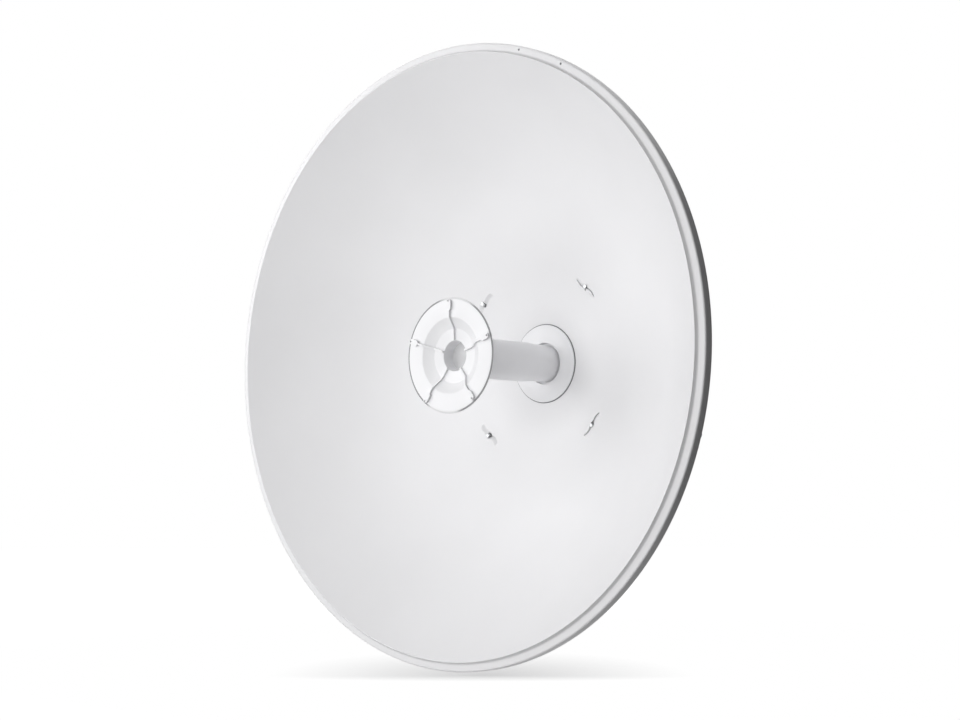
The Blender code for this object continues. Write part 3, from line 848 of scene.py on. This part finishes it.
def axis_matrix(origin, direction):
    """Stand local Z along a direction, from an origin."""
    turn = Vector(direction).to_track_quat("Z", "Y").to_matrix().to_4x4()
    return Matrix.Translation(origin) @ turn


def node_middle(node):
    """The middle of a node's box."""
    return [(low + high) / 2 for low, high in zip(*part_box(node))]


def screw_thread(radius, start, end, pitch):
    """Profile points of a thread along a shank, crest to root and back."""
    count = max(int(round(abs(end - start) / pitch)), 1)
    step = (end - start) / count
    root = radius - pitch * 0.5
    points = []
    for i in range(count):
        z = start + i * step
        points += [(radius, z + 0.1 * step), (root, z + 0.45 * step), (root, z + 0.55 * step),
                   (radius, z + 0.9 * step)]
    return points


def hexagon(radius, high, bore=0.0):
    """A hexagon nut or head along local Z, with its corners chamfered, and a bore if asked for."""
    flat, wide = radius * 0.87, radius * 1.02
    drop = (wide - flat) * 0.55
    cone = turned([(0, 0), (flat, 0), (wide, drop), (wide, high - drop), (flat, high), (0, high)],
                  48, False)
    bm = carve(prism(radius, (0, 0, 0), (0, 0, high), 6), cone, "INTERSECT")
    if bore:
        lead = bore * 0.16
        bm = carve(bm, turned([
            (0, -0.001), (bore + lead * 2, -0.001), (bore + lead, 0), (bore, lead),
            (bore, high - lead), (bore + lead, high), (bore + lead * 2, high + 0.001),
            (0, high + 0.001)], 32, False))
    return bm


def washer(radius, bore, high):
    edge = min(high * 0.25, 0.0003)
    return turned([(bore + edge, 0), (radius - edge, 0), (radius, edge), (radius, high - edge),
                   (radius - edge, high), (bore + edge, high), (bore, high - edge), (bore, edge)],
                  48)


# What stands on a bolt, and how the pieces are named
RINGS = {"nut": "hex_nut", "spacer": "spacer_ring", "washer": "flat_washer"}
NUT_RADIUS = 0.0075
WASHER_RADIUS = 0.01


def add_rings(kind, place, axis, middle, body, settings):
    """Model the nut, spacer and washer of a bolt along an axis, where the frame has them."""
    for part, shape in RINGS.items():
        node = f"{kind}_{part}_{place}"
        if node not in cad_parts:
            continue
        start, end = (corner[axis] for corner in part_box(node))
        if part == "nut":
            bm = hexagon(NUT_RADIUS, end - start, settings.bolt_radius + 0.0001)
        else:
            bm = washer(WASHER_RADIUS, settings.bolt_radius + 0.0003, end - start)
        origin, direction = list(middle), [0, 0, 0]
        origin[axis], direction[axis] = start, 1
        finished(f"{kind}_{shape}_{place}", placed(bm, axis_matrix(origin, direction)),
                 material("zinc_plate", settings.zinc), body, node)


# The four screws behind the feed, and the bolts' holes
DIAGONALS = [math.radians(45 + 90 * index) for index in range(4)]
SCREW_CIRCLE = 0.0345
SCREW_HOLE = 0.0023
BOLT_HOLE = 0.0045


class DISH_OT_housing(Piece, bpy.types.Operator):
    """Model the cast housing behind the feed, with its webs, cover and screws"""
    bl_idname = "dish.housing"
    bl_label = "Feed housing"

    def execute(self, context):
        s = context.scene.dish_hardware
        front, end = VERTEX_Y - HOUSING_LOW.y, VERTEX_Y - HOUSING_HIGH.y
        flange = front - 0.0045
        cast = turned([
            *at(0, front, (0, 0), (39.4, 0), (40, -0.6)),
            *at(0, flange, (40, 0.6), (39.4, 0), (28.5, 0), (27, -0.6), (26.2, -2)),
            *at(0, end, (25.2, 16.5), (25.2, 15), (24.4, 14.6), (24.4, 13.6), (26, 13), (26, 2.2),
                (25.4, 0.8), (24, 0), (0, 0))], 96, False)
        outline = at(0, flange, (24, 1), (38.5, 1), (38.5, -1), (26.8, -16), (24, -19))
        webs = []
        for index in range(8):
            turn = Matrix.Rotation(math.radians(22.5 + 45 * index), 4, "Z")
            webs.append(plate([outline], -0.0011, 0.0011, turn @ UPRIGHT))
        cast = carve(cast, joined(*webs), "UNION")
        holes = []
        for angle in DIAGONALS:
            x, z = SCREW_CIRCLE * math.cos(angle), SCREW_CIRCLE * math.sin(angle)
            holes.append(prism(SCREW_HOLE, (x, z, flange - 0.001), (x, z, front + 0.001), 24))
        cast = placed(carve(cast, joined(*holes)), BORESIGHT)
        finished("feed_casting", cast, material("grey_casting", s.casting), DISH, "feed_housing")
        for index in range(1, 5):
            node = f"housing_screw_{index}"
            low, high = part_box(node)
            x, _, z = node_middle(node)
            head, length = 0.004, high.y - low.y
            screw = turned([
                *mm((0, 0), (3.1, 0), (3.5, 0.3), (3.6, 0.8), (3.6, 4), (2, 4)),
                *screw_thread(0.002, head + 0.001, length - 0.0006, 0.0007),
                (0.0015, length), (0, length)], 32, False)
            screw = carve(screw, prism(0.0018, (0, 0, -0.001), (0, 0, 0.0022), 6))
            finished(f"housing_cap_screw_{index}",
                     placed(screw, axis_matrix((x, high.y, z), (0, -1, 0))),
                     material("zinc_plate", s.zinc), DISH, node)
        return {"FINISHED"}


class DISH_OT_connectors(Piece, bpy.types.Operator):
    """Model the two threaded sockets with their insulators and contacts"""
    bl_idname = "dish.connectors"
    bl_label = "Signal connectors"

    def execute(self, context):
        s = context.scene.dish_hardware
        nickel = material("nickel_plate", s.nickel)
        for side in SIDES:
            node = f"rf_connector_{side}"
            low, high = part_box(node)
            length = high.y - low.y
            floor = length - 0.009
            place = axis_matrix((node_middle(node)[0], low.y, 0.0), (0, 1, 0))
            barrel = turned([
                *mm((0, 1.5), (7, 1.5), (7, 4)),
                *screw_thread(0.0078, 0.0042, length - 0.0012, 0.00106),
                *at(0, length, (7.1, -0.4), (6.7, 0), (5.9, 0), (5.6, -0.3)),
                *at(0, floor, (5.6, 0.2), (0, 0.2))], 64, False)
            barrel = carve(hexagon(0.0092, 0.003), barrel, "UNION")
            finished(f"connector_{side}", placed(barrel, place), nickel, DISH, node)
            inset = turned(at(0, floor, (1.7, 0.4), (5, 0.4), (5, 2.2), (4.7, 2.5), (2, 2.5),
                              (1.7, 2.2)), 48)
            finished(f"connector_insulator_{side}", placed(inset, place),
                     material("insulator", (0.86, 0.85, 0.8)), DISH)
            pin = turned(at(0, floor, (0, 0.4), (1.6, 0.4)) + at(
                0, length, (1.6, -3), (1.3, -2.6), (0.8, -2.6), (0.8, -5), (0, -5)), 32, False)
            slit = block((-0.002, -0.00015, length - 0.0045), (0.002, 0.00015, length))
            finished(f"connector_contact_{side}", placed(carve(pin, slit), place), nickel, DISH)
        return {"FINISHED"}


def rounded(points, radius=0.0, steps=4):
    """Round the corners of an outline; a corner may carry its own radius as a third number."""
    result = []
    for i, point in enumerate(points):
        here = Vector(point[:2])
        turn = point[2] if len(point) > 2 else radius
        before = Vector(points[i - 1][:2]) - here
        after = Vector(points[(i + 1) % len(points)][:2]) - here
        angle = before.angle(after)
        if turn <= 0 or angle > math.radians(178):
            result.append(tuple(here))
            continue
        reach = min(turn / math.tan(angle / 2), before.length * 0.49, after.length * 0.49)
        size = reach * math.tan(angle / 2)
        centre = here + (before.normalized() + after.normalized()).normalized() * (
            size / math.sin(angle / 2))
        first = here + before.normalized() * reach - centre
        last = here + after.normalized() * reach - centre
        sweep = first.angle_signed(last)
        for k in range(steps + 1):
            spoke = first.copy()
            spoke.rotate(Matrix.Rotation(-sweep * k / steps, 2))
            result.append(tuple(centre + spoke))
    return result


def rectangle(across, up, radius, steps=4):
    """A rectangle with rounded corners, from its half sizes."""
    return rounded([(-across, -up), (across, -up), (across, up), (-across, up)], radius, steps)


def softened_plate(loops, low, high, edge, matrix=STRAIGHT):
    bm = plate(loops, low, high)
    soften(bm, edge, 2, 50.0)
    return placed(bm, matrix)


# Rear and front of the bracket's plate in the bowl's own axes, and the circle of its feet
PLATE_SPAN = (0.148 + VERTEX_Y, 0.151 + VERTEX_Y)
FOOT_CIRCLE = 0.1
# One corner of the plate, with the radii that round it
PLATE_CORNER = mm((82, 58, 6), (89, 70, 4), (70, 89, 4), (58, 82, 6))
# The bracket's ears start behind its plate, and their inner and outer faces stand at these x
EAR_ROOT = -0.1495
EAR_FACES = (0.0415, 0.0455)


class DISH_OT_dish_bracket(Piece, bpy.types.Operator):
    """Model the plate behind the bowl, with its feet, hooks and ears"""
    bl_idname = "dish.dish_bracket"
    bl_label = "Dish bracket"

    def execute(self, context):
        s = context.scene.dish_hardware
        bowl_settings = context.scene.dish_reflector
        focal, slots = bowl_settings.focal_length, bowl_settings.lance_radius
        gap = bowl_settings.sheet + 0.0003
        rear, front = PLATE_SPAN
        outline = []
        for index in range(4):
            turn = Matrix.Rotation(math.radians(90 * index), 2)
            outline += [(*(turn @ Vector((x, z))), radius) for x, z, radius in PLATE_CORNER]
        loops = [rounded(outline), circle(0.03, steps=64)]
        loops += [circle(SCREW_HOLE, (SCREW_CIRCLE * math.cos(a), SCREW_CIRCLE * math.sin(a)), 20)
                  for a in DIAGONALS]
        bm = softened_plate(loops, rear, front, s.edge)
        tube = [rectangle(0.013, 0.013, 0.003), rectangle(0.0108, 0.0108, 0.0012)]
        top = bowl(slots + 0.0036, focal) + 0.0003 + 0.0014
        hook = rounded(mm((-1.1, 10, 0), (1.1, 10, 0)) + at(
            0, top, (1.1, -1.4, 0.5), (3.6, -1.4, 0.3), (3.6, 0, 0.6), (-1.1, 0, 1.5)))
        feet, hooks = [], []
        for angle in DIAGONALS:
            turn = Matrix.Rotation(angle, 4, "Z")
            place = turn @ Matrix.Translation((FOOT_CIRCLE, 0, 0))
            feet.append(plate(tube, front - 0.001, 0.03, place))
            turn @= Matrix.Translation((slots, 0, 0))
            web = block((-0.0012, -0.0112, front - 0.0008), (0.0012, 0.0112, 0.0118), turn)
            hooks.append(carve(web, plate([hook], -0.0016, 0.0016, turn @ UPRIGHT), "UNION"))
        space = turned([behind(r, gap, focal) for r in spread(0.06, 0.14, 33)]
                       + [(0.145, 0.05), (0.055, 0.05)], 192)
        bm = carve(bm, carve(joined(*feet), space), "UNION")
        bm = placed(carve(bm, joined(*hooks), "UNION"), BORESIGHT)
        lock = (PIVOT[0], PIVOT[1] + LOCK_ARM)
        outline = [(EAR_ROOT, PIVOT[1] - 0.028), *arc(0.013, -90, 0, 12, PIVOT),
                   *arc(0.013, 0, 90, 12, lock), (EAR_ROOT, lock[1] + 0.025)]
        loops = [outline, circle(BOLT_HOLE, PIVOT), circle(BOLT_HOLE, lock)]
        for sign in SIDES.values():
            low, high = sorted(sign * x for x in EAR_FACES)
            bm = carve(bm, softened_plate(loops, low, high, s.edge, SIDEWAYS), "UNION")
            for face, away in ((low, -1), (high, 1)):
                seam = [(0.0, 0.0), (away * 0.003, 0.0), (0.0, 0.003)][::away]
                place = Matrix.Translation((face - away * 0.0002, -0.1482, 0))
                bm = carve(bm, plate([seam], PIVOT[1] - 0.026, lock[1] + 0.023, place), "UNION")
        finished("bracket_plate", bm, material("galvanised_steel", s.steel), DISH, "dish_bracket",
                 smooth_angle=40.0)
        return {"FINISHED"}


# Thickness of the yoke and the jaws, half the width of the yoke's slots, and half their sweep in
# degrees
YOKE_THICK = 0.004
SLOT_HALF = 0.0046
SLOT_SWEEP = 20.5
# Places of the clamp's bolts, and radius of the circle of tilt marks
CLAMP_X = (-0.042, 0.042)
CLAMP_Z = (-0.075, 0.075)
MARK_RADIUS = 0.113


class DISH_OT_mast_yoke(Piece, bpy.types.Operator):
    """Model the mast plate with its ears, curved slots and tilt marks"""
    bl_idname = "dish.mast_yoke"
    bl_label = "Mast yoke"

    def execute(self, context):
        s = context.scene.dish_hardware
        loops = [rectangle(YOKE_HIGH.x, YOKE_HIGH.z, 0.006, 6)]
        loops += [circle(BOLT_HOLE, (x, z)) for x in CLAMP_X for z in CLAMP_Z]
        bm = softened_plate(loops, 0.0, YOKE_THICK, s.edge, UPRIGHT)
        first, last, middle = 90 - SLOT_SWEEP, 90 + SLOT_SWEEP, -YOKE_THICK / 2
        outline = [(middle, PIVOT[1] - 0.034), (middle, PIVOT[1] + LOCK_ARM + 0.03),
                   *arc(LOCK_ARM + 0.015, first - 4, last + 4, 24, PIVOT),
                   *arc(0.015, 180, 270, 12, PIVOT)]
        near, far = (arc(LOCK_ARM, end, end, 1, PIVOT)[0] for end in (first, last))
        slot = arc(LOCK_ARM + SLOT_HALF, first, last, 24, PIVOT)
        slot += arc(SLOT_HALF, last, last + 180, 12, far)[1:-1]
        slot += arc(LOCK_ARM - SLOT_HALF, last, first, 24, PIVOT)
        slot += arc(SLOT_HALF, first + 180, first + 360, 12, near)[1:-1]
        loops = [outline, slot, circle(BOLT_HOLE, PIVOT)]
        for sign in SIDES.values():
            low, high = sorted((sign * 0.051, sign * 0.055))
            ear = softened_plate(loops, low, high, s.edge, SIDEWAYS)
            marks = []
            for step in range(-4, 5):
                angle = math.radians(90 + step * 5)
                start = (sign * 0.0552, PIVOT[0] + MARK_RADIUS * math.cos(angle),
                         PIVOT[1] + MARK_RADIUS * math.sin(angle))
                tick = block((-0.0006, -0.0003, 0.0),
                             (0.0006, 0.0003, 0.0034 if step % 2 else 0.0052))
                turn = Matrix.Rotation(angle - math.pi / 2, 4, "X")
                marks.append(placed(tick, Matrix.Translation(start) @ turn))
            bm = carve(bm, carve(ear, joined(*marks)), "UNION")
        finished("yoke_plate", bm, material("galvanised_steel", s.steel), YOKE, "mast_yoke",
                 smooth_angle=40.0)
        return {"FINISHED"}


# The jaws' slope, and the radius of the mast that they hold
JAW_SLOPE = math.radians(30)
MAST_RADIUS = 0.025


class DISH_OT_mast_clamp(Piece, bpy.types.Operator):
    """Model the two clamp jaws, their bolts, nuts and washers"""
    bl_idname = "dish.mast_clamp"
    bl_label = "Mast clamp"

    def execute(self, context):
        s = context.scene.dish_hardware
        apex = MAST_RADIUS + MAST_RADIUS / math.cos(JAW_SLOPE)
        for level in ("upper", "lower"):
            node = f"clamp_jaw_{level}"
            low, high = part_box(node)
            face, back, end = low.y, low.y + YOKE_THICK, high.x
            run = (apex - face) / math.tan(JAW_SLOPE)
            outer = run + YOKE_THICK * math.tan(JAW_SLOPE / 2)
            outline = rounded([
                (-end, face, 0.0), (-run, face, 0.004), (0, apex, 0.01), (run, face, 0.004),
                (end, face, 0.0), (end, back, 0.0), (outer, back, 0.008),
                (0, apex + YOKE_THICK / math.cos(JAW_SLOPE), 0.014), (-outer, back, 0.008),
                (-end, back, 0.0)], steps=6)
            jaw = softened_plate([outline], low.z, high.z, s.edge)
            middle = node_middle(node)[2]
            holes = [prism(BOLT_HOLE, (x, face - 0.01, middle), (x, face + 0.02, middle))
                     for x in CLAMP_X]
            finished(f"jaw_{level}", carve(jaw, joined(*holes)),
                     material("galvanised_steel", s.steel), YOKE, node)
        head, radius = 0.0042, s.bolt_radius
        dome = arc(0.0106, 90, 40, 8, (0.0, head - 0.0106))
        for index in range(1, 5):
            node = f"clamp_bolt_{index}"
            low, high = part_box(node)
            middle = node_middle(node)
            length = high.y - low.y
            bolt = turned([(0, 0), *((r, head - h) for r, h in dome[1:]), (0.0084, head - 0.0002),
                           (0.0084, head), (radius, head), (radius, length * 0.45),
                           *screw_thread(radius, length * 0.45, length - 0.0008, s.pitch),
                           (radius - 0.0009, length), (0, length)], 40, False)
            place = axis_matrix((middle[0], low.y, middle[2]), (0, 1, 0))
            finished(f"clamp_carriage_bolt_{index}", placed(bolt, place),
                     material("zinc_plate", s.zinc), YOKE, node)
            add_rings("clamp", index, 1, middle, YOKE, s)
        return {"FINISHED"}


class DISH_OT_tilt_bolts(Piece, bpy.types.Operator):
    """Model the pivot and lock bolts with their nuts, spacers and washers"""
    bl_idname = "dish.tilt_bolts"
    bl_label = "Tilt bolts"

    def execute(self, context):
        s = context.scene.dish_hardware
        head, radius = 0.0053, s.bolt_radius
        for side, sign in SIDES.items():
            for kind, body in (("pivot", YOKE), ("lock", DISH)):
                node = f"{kind}_bolt_{side}"
                low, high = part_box(node)
                middle = node_middle(node)
                length = high.x - low.x
                bolt = turned([(0, head - 0.001), (radius, head - 0.001), (radius, head + 0.0102),
                               *screw_thread(radius, head + 0.0102, length - 0.0007, s.pitch),
                               (radius - 0.0009, length), (0, length)], 40, False)
                bolt = carve(hexagon(NUT_RADIUS, head), bolt, "UNION")
                outer = high.x if sign > 0 else low.x
                finished(f"{kind}_hex_bolt_{side}",
                         placed(bolt, axis_matrix((outer, *middle[1:]), (-sign, 0, 0))),
                         material("zinc_plate", s.zinc), body, node)
                add_rings(kind, side, 0, middle, body, s)
        return {"FINISHED"}


def area_light(name, location, target, size, power, glossy):
    light = bpy.data.lights.new(name, "AREA")
    light.shape = "SQUARE"
    light.size = size
    light.energy = power
    obj = bpy.data.objects.new(name, light)
    bpy.context.scene.collection.objects.link(obj)
    location, target = Vector(location), Vector(target)
    obj.location = location
    obj.rotation_euler = (target - location).to_track_quat("-Z", "Y").to_euler()
    obj.visible_camera = False
    obj.visible_glossy = glossy
    return obj


# Square area lights: direction from the target, distance, size and power
LIGHT_TARGET = Vector((0.0, -0.25, 0.0))
LIGHTS = {
    "Front": ((0.0, -1.0, 0.05), 1.6, 3.0, 25.0),
    "Front_spot": ((0.0, -1.0, 0.05), 2.6, 0.5, 8.35),
    "Front_high": ((0.0, -1.0, 0.6), 2.2, 1.2, 5.2),
    "Front_low": ((0.0, -1.0, -0.6), 2.2, 1.2, 3.9),
    "Low_left": ((-0.6, -1.0, -0.7), 1.8, 1.0, 3.15),
    "Left": ((-0.8, -0.75, 0.3), 1.25, 0.9, 5.7),
    "Top": ((0.0, -0.5, 0.9), 2.0, 1.2, 1.63),
    "Back": ((-0.12, 1.0, 0.45), 2.6, 1.8, 9.0),
    "Back_left": ((-0.6, 1.0, 0.0), 2.6, 1.2, 14.0),
    "Back_low": ((-0.35, 1.0, -0.4), 2.6, 1.2, 10.0),
    "Over": ((-0.24, 0.28, 1.0), 2.0, 0.4, 30.0),
    "Under": ((-0.24, 0.28, -1.0), 2.0, 0.4, 12.0),
}
# These two light the rim's edge, and don't show in reflections
MATT_LIGHTS = ("Over", "Under")
# A narrow light on the brackets: location, target, size and power
SIDE_LIGHT = ((0.62, 0.05, 0.1), (0.0, -0.05, 0.0), 0.3, 0.5)
SIDE_SPREAD = math.radians(50)
# The world's strength in reflections, and as light from below
WORLD_GLOSS = 0.35
WORLD_BELOW = 0.061
FLOOR_RADIUS = 6.0
# The camera: what it looks at, its height angle and distance, and how far it stands off that line
VIEW_CENTRE = Vector((0.0, -0.31303, 0.0))
VIEW_ELEVATION = math.radians(-4.487)
VIEW_DISTANCE = 1.9695
VIEW_RIGHT = -30.83 / 1900 * VIEW_DISTANCE
VIEW_UP = 4.64 / 1900 * VIEW_DISTANCE


class DISH_OT_stage(Piece, bpy.types.Operator):
    """Set up the floor, the light and the camera"""
    bl_idname = "dish.stage"
    bl_label = "Stage"

    def execute(self, context):
        s = context.scene.dish_stage
        scene = context.scene
        scene.view_settings.view_transform = "Standard"
        bm = bmesh.new()
        bmesh.ops.create_circle(bm, cap_ends=True, segments=96, radius=FLOOR_RADIUS)
        bmesh.ops.translate(bm, vec=(0, 0, CAD_LOW.z - 0.0005), verts=bm.verts)
        roll = Matrix.Rotation(s.roll, 4, "Y")
        floor = finished("floor", placed(bm, roll), material("studio_floor", s.floor), None)
        floor.visible_diffuse = floor.visible_glossy = floor.visible_shadow = False

        self.add_world(scene, s.light)
        for name, (direction, distance, size, power) in LIGHTS.items():
            place = LIGHT_TARGET + roll @ Vector(direction).normalized() * distance
            area_light(name, place, LIGHT_TARGET, size, power * s.light,
                       name not in MATT_LIGHTS)
        *where, power = SIDE_LIGHT
        side = area_light("Side", *where, power * s.light, False)
        side.data.spread = SIDE_SPREAD
        self.add_camera(scene, s.lens, roll)
        return {"FINISHED"}

    def add_world(self, scene, light):
        """White to the camera, grey in reflections, and a faint light from below."""
        world = bpy.data.worlds.new("Studio")
        scene.world = world
        world.use_nodes = True
        nodes = Nodes(world.node_tree)
        camera, gloss, diffuse = (nodes.node("ShaderNodeLightPath", {}, output=f"Is {kind} Ray")
                                  for kind in ("Camera", "Glossy", "Diffuse"))
        upward = nodes.node("ShaderNodeSeparateXYZ", {},
                            nodes.node("ShaderNodeTexCoord", {}, output="Generated"), output="Z")
        below = upward.math("MAXIMUM", 0.0 - upward, 0.0)
        strength = camera + gloss * (WORLD_GLOSS * light) + diffuse * below * (WORLD_BELOW * light)
        background = world.node_tree.nodes["Background"]
        background.inputs["Color"].default_value = (1.0, 1.0, 1.0, 1.0)
        nodes.fill(background.inputs["Strength"], strength)

    def add_camera(self, scene, lens, roll):
        """Stand the camera where the photograph was taken, seen from the centre of the lip."""
        azimuth, elevation = VIEW_AZIMUTH, VIEW_ELEVATION
        back = Vector((math.sin(azimuth) * math.cos(elevation),
                       -math.cos(azimuth) * math.cos(elevation), math.sin(elevation)))
        right = Vector((math.cos(azimuth), math.sin(azimuth), 0.0))
        up = back.cross(right)
        back, right, up = (roll @ axis for axis in (back, right, up))
        data = bpy.data.cameras.new("Camera")
        data.lens = lens
        data.sensor_width = 36.0
        data.clip_start, data.clip_end = 0.05, 50.0
        camera = bpy.data.objects.new("Camera", data)
        scene.collection.objects.link(camera)
        place = VIEW_CENTRE + back * VIEW_DISTANCE - right * VIEW_RIGHT - up * VIEW_UP
        matrix = Matrix((right, up, back)).transposed().to_4x4()
        camera.matrix_world = Matrix.Translation(place) @ matrix
        scene.camera = camera


OPERATORS = (DISH_OT_reflector, DISH_OT_feed_base, DISH_OT_feed_tube, DISH_OT_feed_disc,
             DISH_OT_housing, DISH_OT_connectors, DISH_OT_dish_bracket, DISH_OT_mast_yoke,
             DISH_OT_mast_clamp, DISH_OT_tilt_bolts, DISH_OT_stage)


class DISH_PT_panel(bpy.types.Panel):
    """Panel of the dish antenna's pieces"""
    bl_idname = "DISH_PT_panel"
    bl_label = "Dish Antenna"
    bl_space_type = "VIEW_3D"
    bl_region_type = "UI"
    bl_category = "Dish Antenna"

    def draw(self, context):
        for group in GROUPS:
            settings = getattr(context.scene, group)
            column = self.layout.column()
            for name in settings.__annotations__:
                column.prop(settings, name)
        for operator in OPERATORS:
            self.layout.operator(operator.bl_idname)


GROUPS = {"dish_reflector": ReflectorSettings, "dish_feed": FeedSettings,
          "dish_hardware": HardwareSettings, "dish_stage": StageSettings}
CLASSES = (*GROUPS.values(), *OPERATORS, DISH_PT_panel)


def register():
    for cls in CLASSES:
        bpy.utils.register_class(cls)
    for name, group in GROUPS.items():
        setattr(bpy.types.Scene, name, PointerProperty(type=group))


def unregister():
    for name in GROUPS:
        delattr(bpy.types.Scene, name)
    for cls in reversed(CLASSES):
        bpy.utils.unregister_class(cls)


def main():
    register()
    bpy.ops.dish.reflector()
    bpy.ops.dish.feed_base()
    bpy.ops.dish.feed_tube()
    bpy.ops.dish.feed_disc()
    bpy.ops.dish.housing()
    bpy.ops.dish.connectors()
    bpy.ops.dish.dish_bracket()
    bpy.ops.dish.mast_yoke()
    bpy.ops.dish.mast_clamp()
    bpy.ops.dish.tilt_bolts()
    bpy.ops.dish.stage()


if __name__ == "__main__":
    main()
